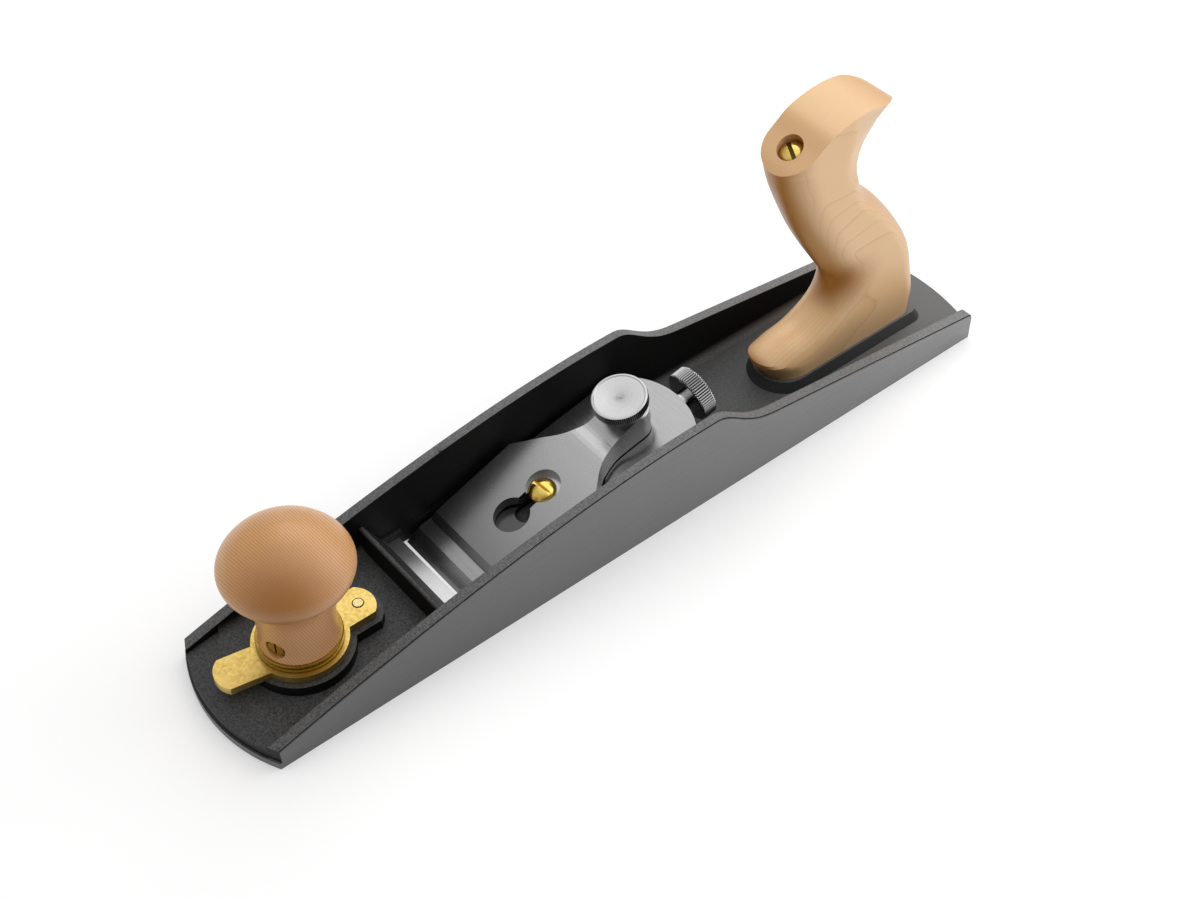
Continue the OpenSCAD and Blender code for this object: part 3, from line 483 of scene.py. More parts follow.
def steel_finish(name, dark, light, rough, stretch=None, depth=0.01, grain=0.0,
                 front_shade=None, shade_under_cap=None):
    """Bare steel, with tool lines or else with a blasted grain.

    The next to last argument is two places along X and the colour before the first one: painted
    shade at the front. The last is the centre and the radius of a round patch of painted shade.
    Both are in millimetres.
    """
    material, tree = new_material(name)
    cloud = effect(tree, clouds, Per_metre=45.0, Contrast=1.8)[0]
    if stretch:
        marks = effect(tree, lines, Stretch=stretch)[0]
    else:
        marks = effect(tree, grit, Per_metre=grain)[0]
    colour = blend_of(tree, marks, dark, light)
    # Painted shade: the piece grows darker towards its front, along X.
    if front_shade:
        start, end, shade_colour = front_shade
        here = wire(tree, "ShaderNodeSeparateXYZ", {0: here_in(tree)}).outputs[0]
        colour = blend_of(tree, share_of(tree, here, start * MM, end * MM), shade_colour, colour)
    # Painted shade: a round dark patch, full inside the radius.
    if shade_under_cap:
        centre, radius = shade_under_cap
        reach = from_axis(tree, Vector(centre) * MM, (0, 0, 1))[1]
        under_cap = share_of(tree, reach, (radius + CAP_SHADE_EDGE) * MM, radius * MM)
        colour = blend_of(tree, under_cap, colour, CAP_SHADE_COLOUR)
    gloss = number(tree, "ADD", between(tree, marks, rough - 0.04, rough + 0.05),
                   between(tree, cloud, -0.03, 0.03))
    finish(tree, colour, gloss, marks, depth, metallic=1.0)
    return material


ground_steel = steel_finish(
    "ground_steel", grey(0.36, 0.005), grey(0.52), 0.3, stretch=(50.0, 3500.0, 3500.0))
# The blade gets a round patch of painted shade under the cap, seen through its keyhole.
blade_steel = steel_finish(
    "blade_steel", grey(0.22, 0.005), grey(0.32), 0.24, stretch=(2600.0, 70.0, 2600.0),
    depth=0.004, shade_under_cap=((-40, 0, 0), 22))
# The cap's front is painted darker, as shade.
cap_steel = steel_finish(
    "cap_steel", grey(0.36, 0.005), grey(0.45), 0.28, depth=0.006, grain=5000.0,
    front_shade=(-66, -14, grey(0.19, 0.003)))
turned_steel = steel_finish(
    "turned_steel", grey(0.42), grey(0.56), 0.17, depth=0.0007, grain=4200.0)
plain_steel = steel_finish(
    "plain_steel", grey(0.28, 0.005), grey(0.42), 0.4, depth=0.006, grain=2400.0)
print("finishes: ground, blade, cap, turned and plain steel")

# %% [markdown]
# The brass lever is sawn from plate, lightly tumbled and left bare, so it is a dull yellow with
# darker clouds where it has begun to tarnish. The ferrule and the knob's lock screw, which sit in
# shade under the knob, get a darker copy of the brass: painted shade. The cap screw and the tote's
# nut stay bright. A pressed pin shows a thin dark ring where it meets its hole.

# %% Finish of the brass
RING_DARK = (0.03, 0.02, 0.006)


def brass_finish(name, clean, stained, pale, rough, stain_share, depth=0.006, ring=None):
    """Brass of three colours; ring is a centre, and the radius where the dark ring starts."""
    material, tree = new_material(name)
    stain = effect(tree, clouds, Per_metre=700.0, Contrast=4.5)[0]
    wide = effect(tree, clouds, Per_metre=120.0, Contrast=2.4)[0]
    scratch = effect(tree, lines, Stretch=(900.0, 5200.0, 5200.0))[0]
    speck = effect(tree, grit, Per_metre=3800.0)[0]
    spots = number(tree, "MULTIPLY", number(tree, "MULTIPLY", stain, wide), stain_share)
    colour = blend_of(tree, spots, clean, stained)
    colour = blend_of(tree, between(tree, wide, 0.35, 0.0), colour, pale)
    colour = blend_of(tree, between(tree, scratch, -0.25, 0.55), colour, stained)
    if ring:
        reach = from_axis(tree, ring[0], (0, 0, 1))[1]
        beyond = number(tree, "GREATER_THAN", reach, ring[1] * MM)
        colour = blend_of(tree, beyond, colour, RING_DARK)
    gloss = number(tree, "ADD", between(tree, speck, rough, rough + 0.14),
                   number(tree, "MULTIPLY", stain, 0.08))
    finish(tree, colour, gloss, speck, depth, metallic=1.0)
    return material


brass = brass_finish(
    "brass", (0.72, 0.52, 0.145), (0.30, 0.18, 0.035), (0.80, 0.63, 0.28), 0.26, 0.45)
# A darker copy of the turned brass, for pieces that sit in shade: painted shade.
shaded_turned_brass = brass_finish(
    "shaded_turned_brass", (0.33, 0.205, 0.034), (0.22, 0.13, 0.02), (0.42, 0.285, 0.06), 0.2, 0.3, 0.002)
bright_brass = brass_finish(
    "bright_brass", (0.78, 0.56, 0.14), (0.50, 0.33, 0.06), (0.82, 0.63, 0.22), 0.12, 0.4, 0.002)
# The near black brass in a slot is painted shade.
slot_shade_brass = brass_finish(
    "slot_shade_brass", (0.12, 0.07, 0.012), (0.05, 0.03, 0.006), (0.16, 0.10, 0.02), 0.4, 0.6, 0.003)
PIN_BARE_R = 1.85
pin_low, pin_high = (Vector(corner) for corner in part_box("lever_pivot_pin"))
pin_brass = brass_finish(
    "pin_brass", (0.66, 0.53, 0.24), (0.46, 0.33, 0.10), (0.72, 0.61, 0.34), 0.24, 0.6, 0.003,
    ring=((pin_low + pin_high) / 2, PIN_BARE_R))
print("finishes:", brass.name, shaded_turned_brass.name, bright_brass.name, pin_brass.name)

# %% [markdown]
# Both handles are pale hard maple under oil. The knob's layers stand steeply across the plane, so
# its head shows them as fine straight lines. The tote was sawn with the layers flat against its
# sides. One function makes both, each with its own direction of layers. Each also has one broad
# patch of painted shade, darker and more saturated, with fewer lines in it: in the hollow where
# the hand closes, and on the near front of the knob's head.

# %% Finishes of the wood
FRAYED = 3.5


def wood_finish(name, across, wander, wander_stretch, fibre_stretch, fibre_way, pale, deep,
                end_tint, end_share, line_tint, line_share, line_power, shade_patch):
    """Oiled wood. The last argument is a patch of painted shade: its centre, the weight of each
    axis in its distance, the distances where it is full and where it ends, in millimetres, its tint
    and its share."""
    material, tree = new_material(name)
    layer, line, fibre, cut = effect(
        tree, layers, Across=across, Wander=wander, Wander_stretch=wander_stretch,
        Fibre_stretch=fibre_stretch, Fibre_way=fibre_way, Line_power=line_power)
    cloud = effect(tree, clouds, Per_metre=22.0, Contrast=1.6)[0]
    pores = effect(tree, grit, Per_metre=5200.0)[0]
    colour = blend_of(tree, between(tree, layer, 0.1, 0.32), pale, deep)
    colour = blend_of(tree, between(tree, cloud, 0.0, 0.45), colour, deep)
    colour = blend_of(tree, between(tree, fibre, 0.0, 0.35), colour, deep)
    colour = blend_of(tree, between(tree, cut, 0.0, end_share), colour, end_tint)
    # A patch of painted shade: darker and with fewer lines, fading out by distance from a centre.
    centre, measured, inner, outer, shade_tint, shade_share = shade_patch
    away = vector(tree, "SUBTRACT", here_in(tree), tuple(c * MM for c in centre))
    away = vector(tree, "LENGTH", vector(tree, "MULTIPLY", away, measured))
    away = number(tree, "ADD", away, between(tree, fibre, -FRAYED * MM, FRAYED * MM))
    inside = share_of(tree, away, outer * MM, inner * MM, most=shade_share,
                      interpolation_type="SMOOTHSTEP")
    colour = blend_of(tree, inside, colour, shade_tint)
    broken = share_of(tree, fibre, 0.38, 0.6, least=0.55)
    line = number(tree, "MULTIPLY", number(tree, "MULTIPLY", line, broken),
                  between(tree, inside, 1.0, 0.25))
    colour = blend_of(tree, number(tree, "MULTIPLY", line, line_share), colour, line_tint)
    gloss = number(tree, "ADD", between(tree, fibre, 0.34, 0.48),
                   number(tree, "MULTIPLY", line, 0.05))
    relief = number(tree, "ADD", fibre, number(tree, "MULTIPLY", pores, 0.4))
    relief = number(tree, "SUBTRACT", relief, line)
    finish(tree, colour, gloss, relief, 0.008, coat=0.35, coat_rough=0.3, specular=0.5)
    return material


# The knob's last argument paints shade on the near front of its head.
knob_wood = wood_finish(
    "knob_wood", across=(979.0, 60.0, 390.0), wander=5.0, wander_stretch=(22.0, 22.0, 12.0),
    fibre_stretch=(2600.0, 160.0, 2600.0), fibre_way=(0.1, 0.99, 0.0),
    pale=(0.68, 0.362, 0.152), deep=(0.54, 0.248, 0.064), end_tint=(0.66, 0.36, 0.18),
    end_share=0.9, line_tint=(0.18, 0.065, 0.012), line_share=1.0, line_power=4.0,
    shade_patch=((-150.0, -15.0, 60.0), (1.0, 1.0, 1.0), 4.0, 26.0, (0.30, 0.105, 0.006), 0.85))
# The tote's last argument paints shade in the hollow of its grip.
tote_wood = wood_finish(
    "tote_wood", across=(0.0, 760.0, 62.0), wander=6.0, wander_stretch=(11.0, 10.0, 26.0),
    fibre_stretch=(50.0, 1700.0, 1700.0), fibre_way=(1.0, 0.0, 0.15),
    pale=(0.82, 0.54, 0.30), deep=(0.74, 0.45, 0.20), end_tint=(0.42, 0.175, 0.03),
    end_share=1.2, line_tint=(0.42, 0.19, 0.055), line_share=0.5, line_power=14.0,
    shade_patch=((116.0, 0.0, 46.0), (0.8, 0.0, 1.0), 1.0, 17.0, (0.38, 0.14, 0.010), 0.75))
print("finishes:", knob_wood.name, tote_wood.name)

# %% [markdown]
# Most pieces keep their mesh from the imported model, because it already has the right shape. Real
# edges are never perfectly sharp, though: a bevel of a fraction of a millimetre gives each edge
# its thin bright line. The model's triangles are joined first, so that the bevel finds only the
# real edges.

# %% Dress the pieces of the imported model

# Each piece's material, and the width of its bevel in millimetres, 0 for none.
DRESS = {
    "body_casting": (cast_iron, 0.25), "toe_plate": (ground_steel, 0.12),
    "knob_stud": (plain_steel, 0), "mouth_lever": (brass, 0.25),
    "lever_pivot_pin": (pin_brass, 0.35), "knob_ferrule": (shaded_turned_brass, 0),
    "front_knob": (knob_wood, 0), "knob_insert": (brass, 0),
    "knob_lock_screw": (shaded_turned_brass, 0.12), "blade": (blade_steel, 0.1),
    "lever_cap": (cap_steel, 0.2),
    "thumbscrew_knob": (turned_steel, 0), "thumbscrew_stud": (plain_steel, 0),
    "lever_cap_screw": (bright_brass, 0.15), "adjuster_wheel": (turned_steel, 0),
    "adjuster_spindle": (turned_steel, 0.2), "adjuster_yoke": (plain_steel, 0.3),
    "adjuster_clip": (plain_steel, 0), "rear_tote": (tote_wood, 0), "tote_rod": (plain_steel, 0),
    "tote_barrel_nut": (brass, 0.15), "tote_peg": (plain_steel, 0),
}


def bevel(piece, width, angle=35, steps=2):
    """Rounds the edges that are sharper than the angle by that many millimetres."""
    tool = piece.modifiers.new("bevel", "BEVEL")
    tool.width, tool.segments, tool.limit_method = width * MM, steps, "ANGLE"
    tool.angle_limit = math.radians(angle)
    tool.use_clamp_overlap, tool.harden_normals = True, False
    piece.modifiers.new("weighted_normals", "WEIGHTED_NORMAL").keep_sharp = True


def coat(piece, *materials):
    """Gives a piece these materials in place of any others."""
    piece.data.materials.clear()
    for material in materials:
        piece.data.materials.append(material)


WELD_GAP = 0.002
for name, (material, width) in DRESS.items():
    piece = parts[name]
    coat(piece, material)
    if width:
        piece.modifiers.new("weld", "WELD").merge_threshold = WELD_GAP * MM
        bevel(piece, width)
print("dressed:", len(DRESS))

# %% [markdown]
# The tote is a carved shape: rounded in front and behind, drawn to a keel under its horn, and
# sawn flat across its crown. It is made as rings. Each ring joins a point of the front curve to
# a point of the back curve, and its thickness falls off near both, by the distance to the
# curve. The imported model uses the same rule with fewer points, so this finer one lies in it.

# %% Curves of the tote


def smooth(points, steps):
    """A smooth curve through every point, with that many steps between two points."""
    p = np.array(points, float)
    a, b = np.vstack([p[:1], p[:-1]])[:-1], p[:-1]
    c, d = p[1:], np.vstack([p[2:], p[-1:]])
    rows = []
    for k in range(steps):
        t = k / steps
        rows.append(0.5 * (2 * b + (c - a) * t + (2 * a - 5 * b + 4 * c - d) * t * t
                           + (3 * b - a - 3 * c + d) * t ** 3))
    curve = np.stack(rows, 1).reshape(-1, p.shape[1])
    return np.vstack([curve, p[-1:]])


# Points of the tote's side view in millimetres: how far behind its front foot, and how high.
TOTE_X, CURVE_STEPS = 79.4, 7
front_curve = smooth([
    (-0.8, 114.8), (1.7, 105.9), (6.6, 94.1), (13.4, 79.9), (21.3, 66.4), (28.8, 54.6),
    (34.5, 44.6), (31.5, 34.3), (20.8, 27.9), (9.1, 25.5), (-1.8, 20), (4.4, 9.5)], CURVE_STEPS)
back_curve = smooth([
    (61.3, 119.9), (52.2, 112), (44.1, 106.1), (40.4, 98.7), (44.9, 88.5), (54.4, 78.7),
    (64.9, 65.1), (74.3, 49.4), (78.6, 34.2), (81.2, 22), (81, 15.5), (80.6, 9.5)], CURVE_STEPS)
crown_curve = smooth([
    (-0.8, 114.8), (2.6, 117.6), (7.1, 120.7), (11.6, 123.8), (17.6, 128.1), (23.6, 130.2),
    (29.6, 131.4), (35.6, 131.8), (41.6, 131.2), (47.6, 129.8), (51.6, 128.2), (54.6, 126),
    (57.6, 123.3), (61.3, 119.9)], CURVE_STEPS)
print("tote rings:", len(front_curve))

# %% [markdown]
# Each ring goes from the front curve to the back curve on the near side and returns on the far
# side, with its points closer together at both ends, where the surface turns fastest. The first
# ring follows the crown and the last one lies on the pad. Both are closed with flat faces.

# %% Mesh of the tote
FOOT_HALF, SWELL, TOP_Z = 11.3, 0.8, 114.8
FRONT_ROUND, BACK_ROUND, KEEL_ROUND, KEEL_Z, KEEL_RISE = 13, 8, 10, 98, 18
RING_POINTS = 44


def distance_to(points, curve):
    """Shortest distance from each point to a curve of straight steps."""
    a, step = curve[:-1], np.diff(curve, axis=0)
    away = points[:, None] - a[None]
    share = np.clip((away * step).sum(2) / (step * step).sum(1), 0, 1)
    return np.linalg.norm(away - share[:, :, None] * step, axis=2).min(1)


def tote_half(points):
    """Half the thickness of the tote at places of its side view."""
    z = points[:, 1]
    keel = np.clip((z - KEEL_Z) / KEEL_RISE, 0, 1)
    front = np.clip(1 - distance_to(points, front_curve) / FRONT_ROUND, 0, None)
    back = np.clip(1 - distance_to(points, back_curve) / (BACK_ROUND + KEEL_ROUND * keel), 0, None)
    rounded = (1 - keel) * np.sqrt(1 - back ** 2) + keel * (1 - back)
    return (FOOT_HALF + SWELL * z / TOP_Z) * np.minimum(np.sqrt(1 - front ** 2), rounded)


vertices, faces = [], []
ring = 2 * RING_POINTS
share = (1 - np.cos(np.linspace(0, math.pi, RING_POINTS + 1))) / 2
for row, (front, back) in enumerate(zip(front_curve, back_curve)):
    line = front + (back - front) * share[:, None]
    if row == 0:
        line[:, 1] = np.interp(line[:, 0], crown_curve[:, 0], crown_curve[:, 1])
    half = tote_half(line)
    half[[0, -1]] = 0
    order = list(range(RING_POINTS + 1)) + list(range(RING_POINTS - 1, 0, -1))
    sign = [-1] * (RING_POINTS + 1) + [1] * (RING_POINTS - 1)
    vertices += [(TOTE_X + line[k, 0], s * half[k], line[k, 1]) for k, s in zip(order, sign)]
for row in range(len(front_curve) - 1):
    for k in range(ring):
        a, b = row * ring + k, row * ring + (k + 1) % ring
        faces.append((a, a + ring, b + ring, b))
for row in (0, len(front_curve) - 1):
    for k in range(RING_POINTS):
        cap = [row * ring + i for i in (k, k + 1, (ring - k - 1) % ring, (ring - k) % ring)]
        cap = list(dict.fromkeys(cap))
        faces.append(cap if row == 0 else cap[::-1])
tote = mesh_piece("tote", vertices, faces)
print("tote vertices:", len(vertices))

# %% [markdown]
# Two helpers work as a lathe and a mill do. One spins a profile round an axis. The other takes a
# shape away from a piece with a boolean: the result is kept as the mesh, and the cutter is thrown
# away.

# %% Helpers for turning and carving
ROUND, BORE_LENGTH = 96, 20


def turned(profile, segments, radius_at=None):
    """A solid of revolution about Z from (radius, height) pairs, first and last on the axis."""
    vertices, faces = [(0, 0, profile[0][1])], []
    rings = profile[1:-1]
    for r, z in rings:
        for k in range(segments):
            angle = 2 * math.pi * k / segments
            grown = radius_at(r, z, k) if radius_at else r
            vertices.append((grown * math.cos(angle), grown * math.sin(angle), z))
    top = len(vertices)
    vertices.append((0, 0, profile[-1][1]))
    for k in range(segments):
        n = (k + 1) % segments
        faces.append((0, 1 + n, 1 + k))
        for row in range(len(rings) - 1):
            a, b = 1 + row * segments, 1 + (row + 1) * segments
            faces.append((a + k, a + n, b + n, b + k))
        last = 1 + (len(rings) - 1) * segments
        faces.append((top, last + k, last + n))
    return vertices, faces


def carve(piece, place, vertices, faces):
    """Cuts a shape out of a piece; the shape is written in the place's own frame."""
    cutter = mesh_piece("cutter", vertices, faces)
    cutter.data.transform(place)
    tool = piece.modifiers.new("carve", "BOOLEAN")
    tool.operation, tool.solver, tool.object = "DIFFERENCE", "EXACT", cutter
    bpy.context.view_layer.update()
    seen = piece.evaluated_get(bpy.context.evaluated_depsgraph_get())
    cut = bpy.data.meshes.new_from_object(seen)
    piece.modifiers.clear()
    piece.data = cut
    bpy.data.objects.remove(cutter)


def bore(piece, place, radius, length):
    """Cuts a round hole of that length along the place's own Z."""
    carve(piece, place, *turned([(0, 0), (radius, 0), (radius, length), (0, length)], ROUND))


def smooth_shading(piece, angle):
    """Smooth shading, but for the edges that are sharper than the angle."""
    piece.data.shade_smooth()
    piece.data.set_sharp_from_angle(angle=math.radians(angle))


def spot(x, y, z):
    """The frame at a place in millimetres."""
    return Matrix.Translation(Vector((x, y, z)) * MM)


print("helpers ready: turned, carve and bore")

# %% [markdown]
# The tote's brass nut sits deep in a recess, which is bored along the line of the rod inside.
# After that the tote is smoothed, its sawn edges are eased, and it takes the place of its node.

# %% Bore the tote
NUT_X, NUT_Z, ROD_LEAN, NUT_SUNK, RECESS_R = 88.0, 121.4, 23.9, 3.9, 5.3
nut_line = spot(NUT_X, 0, NUT_Z) @ Matrix.Rotation(math.radians(-ROD_LEAN), 4, "Y")
bore(tote, nut_line @ spot(0, 0, -NUT_SUNK), RECESS_R, BORE_LENGTH)
TOTE_SHARP = 32
smooth_shading(tote, TOTE_SHARP)
bevel(tote, 0.35, TOTE_SHARP)
coat(tote, tote_wood)
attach(tote, "root")
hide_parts("rear_tote")
print("tote faces:", len(tote.data.polygons))

# %% [markdown]
# The nut itself has a domed head with a wide slot across it. It is turned first and slotted
# after, as on a lathe and a mill. Its long barrel goes down round the rod. The faces in the slot
# are found before the nut is moved to its place, and get a near black brass: painted shade.

# %% Turn and slot the nut
NUT_R, BARREL_R, BARREL_LOW, NUT_SHARP = 4.8, 3.8, -21.7, 30
SLOT_WIDE, SLOT_TURN, SLOT_REACH, SLOT_FLOOR, SLOT_TOP = 1.6, -118, 8, 1.3, 6
DARK_ABOVE, NEAR_SLOT = 1.0, 0.02
BOX_FACES = [(3, 2, 1, 0), (4, 5, 6, 7), (0, 1, 5, 4), (1, 2, 6, 5), (2, 3, 7, 6), (3, 0, 4, 7)]
nut = mesh_piece("nut", *turned([
    (0, BARREL_LOW), (BARREL_R, BARREL_LOW), (BARREL_R, 0), (NUT_R - 0.2, 0), (NUT_R, 0.2),
    (NUT_R, 1.2), (NUT_R - 0.15, 1.6), (NUT_R - 0.6, 2.1), (NUT_R - 1.4, 2.6),
    (NUT_R - 2.6, 3.0), (NUT_R - 3.8, 3.2), (0, 3.25)], ROUND))
corners = [(x * SLOT_REACH, y * SLOT_WIDE / 2, z) for z in (SLOT_FLOOR, SLOT_TOP)
           for x, y in ((-1, -1), (1, -1), (1, 1), (-1, 1))]
slot_turn = Matrix.Rotation(math.radians(SLOT_TURN), 4, "Z")
carve(nut, slot_turn, corners, BOX_FACES)
sunk_faces = [
    face.index for face in nut.data.polygons if face.center.z > DARK_ABOVE * MM
    and abs((slot_turn.inverted() @ face.center).y) < (SLOT_WIDE / 2 + NEAR_SLOT) * MM]
nut.data.transform(nut_line @ spot(0, 0, -NUT_SUNK))
smooth_shading(nut, NUT_SHARP)
bevel(nut, 0.12, NUT_SHARP)
# The faces in the slot take the near black brass, as painted shade.
coat(nut, bright_brass, slot_shade_brass)
for index in sunk_faces:
    nut.data.polygons[index].material_index = 1
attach(nut, "root")
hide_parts("tote_barrel_nut")
print("nut faces:", len(nut.data.polygons))

# %% [markdown]
# The knob is turned on a lathe, so its mesh is a profile spun round its axis. The profile is the
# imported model's, with more points. A small lock screw stops the knob from working loose, in a
# recess bored into the neck.

# %% Turn the knob
KNOB_X, KNOB_Z, KNOB_TOP, KNOB_SHARP = -139.0, 20.4, 74.0, 40
NECK_R, KNOB_R = 14.1, 24.0

# Pairs of a radius in millimetres and a share of the knob's height.
profile = [
    (NECK_R + 0.7, 0), (NECK_R + 0.1, 0.07), (NECK_R, 0.14), (NECK_R + 0.2, 0.22),
    (NECK_R + 0.6, 0.29), (NECK_R + 1.2, 0.37), (NECK_R + 2.2, 0.44), (KNOB_R - 5.8, 0.515),
    (KNOB_R - 3.1, 0.57), (KNOB_R - 0.8, 0.625), (KNOB_R, 0.685), (KNOB_R - 0.7, 0.74),
    (KNOB_R - 2.6, 0.795), (KNOB_R - 5.3, 0.85), (KNOB_R - 9.3, 0.907), (KNOB_R - 14.5, 0.955),
    (KNOB_R - 19.2, 0.988), (0, 1)]
FINE_STEPS, FINE_ROUND = 6, 144
profile = smooth([(r, KNOB_Z + share * (KNOB_TOP - KNOB_Z)) for r, share in profile], FINE_STEPS)
knob = mesh_piece("knob", *turned([(0, KNOB_Z)] + [tuple(p) for p in profile], FINE_ROUND))
knob.data.transform(spot(KNOB_X, 0, 0))
LOCK_Z, LOCK_TURN, LOCK_RECESS_R, LOCK_DEEP = KNOB_Z + 5.7, -156, 4.0, 2.2
lock_line = (spot(KNOB_X, 0, LOCK_Z) @ Matrix.Rotation(math.radians(LOCK_TURN), 4, "Z")
             @ Matrix.Rotation(math.radians(90), 4, "Y"))
bore(knob, lock_line @ spot(0, 0, NECK_R - LOCK_DEEP), LOCK_RECESS_R, BORE_LENGTH)
smooth_shading(knob, KNOB_SHARP)
bevel(knob, 0.3, KNOB_SHARP)
coat(knob, knob_wood)
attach(knob, "knob")
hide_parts("front_knob")
print("knob faces:", len(knob.data.polygons))

# %% [markdown]
# A thumbscrew and an adjusting wheel are gripped by their edges, which are knurled with straight
# teeth. The teeth are real ridges: the spun profile's radius goes in and out round the rim. The
# knurl gets a finish of its own, painted dark towards the roots of the teeth as shade in the
# grooves.

# %% Helpers for knurled rims
STEPS_PER_TOOTH, RIM_SHARP = 4, 24


def knurl(low, high, depth):
    """Radius rule for turned(): teeth between two heights of the profile."""
    def radius_at(r, z, k):
        if not low < z < high:
            return r
        return r - depth * abs((k % STEPS_PER_TOOTH) / STEPS_PER_TOOTH * 2 - 1) ** 1.5
    return radius_at


def knurl_finish(name, point, axis, root, tip, dark, light):
    """Steel painted dark at the root radius of its teeth, as shade in the grooves, and light at
    their tips.
    """
    material, tree = new_material(name)
    marks = effect(tree, grit, Per_metre=4200.0)[0]
    reach = from_axis(tree, point, axis)[1]
    # Painted shade: dark at the roots of the teeth, light at their tips.
    toward_tip = share_of(tree, reach, root * MM, tip * MM)
    toward_tip = number(tree, "MULTIPLY", toward_tip, between(tree, marks, 0.8, 1.1))
    finish(tree, blend_of(tree, toward_tip, dark, light), between(tree, marks, 0.24, 0.36), marks, 0.002,
           metallic=1.0)
    return material


def dress_teeth(piece, point, axis, radius, low, high):
    """Gives a piece's second material to the faces past a radius and between two heights."""
    for face in piece.data.polygons:
        out = face.center - point
        rise = out.dot(axis)
        if (out - axis * rise).length > radius * MM and low * MM < rise < high * MM:
            face.material_index = 1


print("helpers ready: knurled rims")

# %% [markdown]
# The thumbscrew stands square on the sloping bed. Its top is faced to a shallow cone inside a
# polished rim. Facing leaves rings, which stretch each highlight outwards from the axis, so the
# shader gets that direction as its tangent.

# %% Knurled thumbscrew
EDGE_X, BED_ANGLE = -76.7, 12.0
bed = spot(EDGE_X, 0, 0) @ Matrix.Rotation(math.radians(-BED_ANGLE), 4, "Y")
THUMB_S, THUMB_R, DISC_LOW, DISC_HIGH, COLLAR_R, COLLAR_LOW = 91.3, 11.0, 21.5, 26.2, 6.0, 16.4
THUMB_TEETH, THUMB_TOOTH = 84, 0.35
profile = [
    (0, COLLAR_LOW), (COLLAR_R, COLLAR_LOW), (COLLAR_R, DISC_LOW), (THUMB_R - 0.9, DISC_LOW),
    (THUMB_R - 0.45, DISC_LOW + 0.35), (THUMB_R, DISC_LOW + 0.6), (THUMB_R, DISC_HIGH - 0.35),
    (THUMB_R - 0.15, DISC_HIGH - 0.15), (THUMB_R - 0.35, DISC_HIGH - 0.03),
    (THUMB_R - 0.55, DISC_HIGH), (THUMB_R - 0.95, DISC_HIGH), (THUMB_R - 1.25, DISC_HIGH - 0.25),
    (6, DISC_HIGH - 0.5), (3, DISC_HIGH - 0.7), (0.4, DISC_HIGH - 0.88), (0, DISC_HIGH - 0.9)]
thumbscrew = mesh_piece("thumbscrew", *turned(
    profile, THUMB_TEETH * STEPS_PER_TOOTH,
    knurl(DISC_LOW + 0.5, DISC_HIGH - 0.25, THUMB_TOOTH)))
thumb_place = bed @ spot(THUMB_S, 0, 0)
thumbscrew.data.transform(thumb_place)
smooth_shading(thumbscrew, RIM_SHARP)
axis = (bed.to_3x3() @ Vector((0, 0, 1))).normalized()
axle = thumb_place.to_translation()
faced_steel, tree = new_material("faced_steel")
arm, radius = from_axis(tree, axle, axis)
RINGS_PER_METRE = 5000.0
rings = wire(tree, "ShaderNodeTexNoise", {
    "W": number(tree, "MULTIPLY", radius, RINGS_PER_METRE), "Scale": 1.0, "Detail": 2.0},
    noise_dimensions="1D").outputs[0]
radial = wire(tree, "ShaderNodeVectorTransform", {0: arm}, vector_type="VECTOR",
              convert_from="OBJECT", convert_to="WORLD").outputs[0]
finish(tree, blend_of(tree, rings, grey(0.36), grey(0.52)), between(tree, rings, 0.24, 0.34),
       rings, 0.002, metallic=1.0, Anisotropic=0.85, Tangent=radial)
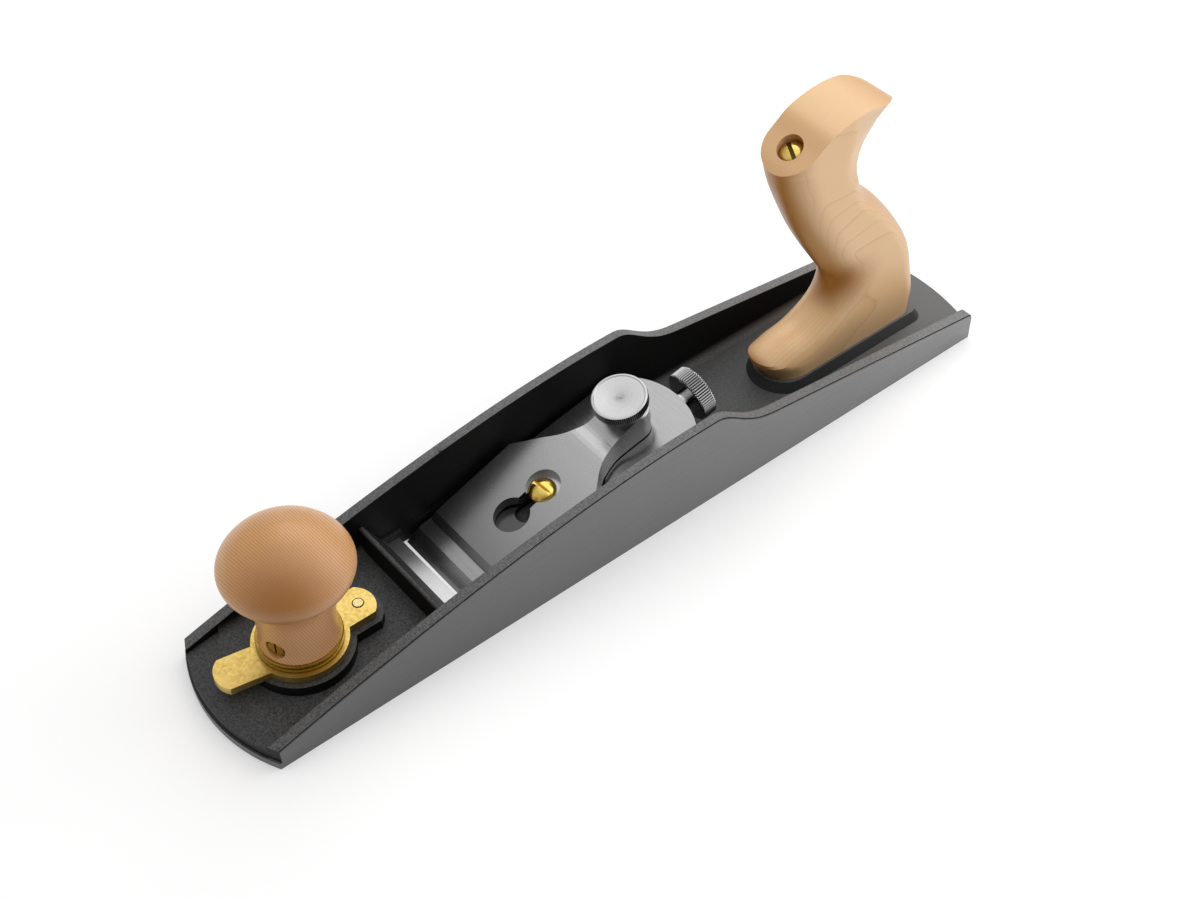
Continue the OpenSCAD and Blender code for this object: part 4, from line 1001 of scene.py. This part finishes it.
# The thumbscrew's near black grooves are painted shade.
thumb_knurl = knurl_finish(
    "thumb_knurl", axle, axis, THUMB_R - 0.3, THUMB_R, grey(0.012), grey(0.5))
coat(thumbscrew, faced_steel, thumb_knurl)
dress_teeth(thumbscrew, axle, axis, THUMB_R - 0.5, 0, DISC_HIGH - 0.6)
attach(thumbscrew, "thumbscrew")
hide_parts("thumbscrew_knob")
print("thumbscrew faces:", len(thumbscrew.data.polygons))

# %% [markdown]
# The adjusting wheel turns on the spindle behind the blade, so its axis lies along the bed. It
# is made in the same way, with coarser and deeper teeth.

# %% Knurled adjusting wheel
WHEEL_S, WHEEL_R, WHEEL_T, SPINDLE_OFF = 120.1, 10.8, 6.7, -3.2
WHEEL_TEETH, WHEEL_TOOTH = 62, 0.5
profile = [
    (0, 0), (WHEEL_R - 2.2, 0), (WHEEL_R - 1.2, 0), (WHEEL_R - 0.5, 0.12), (WHEEL_R, 0.55),
    (WHEEL_R, WHEEL_T - 0.55), (WHEEL_R - 0.5, WHEEL_T - 0.1), (WHEEL_R - 2, WHEEL_T),
    (WHEEL_R - 2.4, WHEEL_T - 0.4), (0, WHEEL_T - 0.4)]
wheel = mesh_piece("wheel", *turned(
    profile, WHEEL_TEETH * STEPS_PER_TOOTH, knurl(0.5, WHEEL_T - 0.5, WHEEL_TOOTH)))
wheel_place = bed @ spot(WHEEL_S, 0, SPINDLE_OFF)
wheel.data.transform(wheel_place @ Matrix.Rotation(math.radians(90), 4, "Y"))
smooth_shading(wheel, RIM_SHARP)
axis = (bed.to_3x3() @ Vector((1, 0, 0))).normalized()
axle = wheel_place.to_translation()
# The wheel's dark grooves are painted shade too.
wheel_knurl = knurl_finish(
    "wheel_knurl", axle, axis, WHEEL_R - 0.42, WHEEL_R - 0.05, grey(0.04), grey(0.46))
coat(wheel, turned_steel, wheel_knurl)
dress_teeth(wheel, axle, axis, WHEEL_R - 0.55, 0.4, WHEEL_T - 0.4)
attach(wheel, "wheel")
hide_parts("adjuster_wheel")
print("wheel faces:", len(wheel.data.polygons))

# %% [markdown]
# The last cell prints how far the box of the dressed model reaches beyond the box of the imported
# model, in millimetres.

# %% Write the sizes and finish
new_box = [list(corner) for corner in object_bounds()]
growth = zip(new_box[0] + new_box[1], cad_box[0] + cad_box[1])
print("box grew by", [round((new - old) / MM, 3) for new, old in growth], "mm")
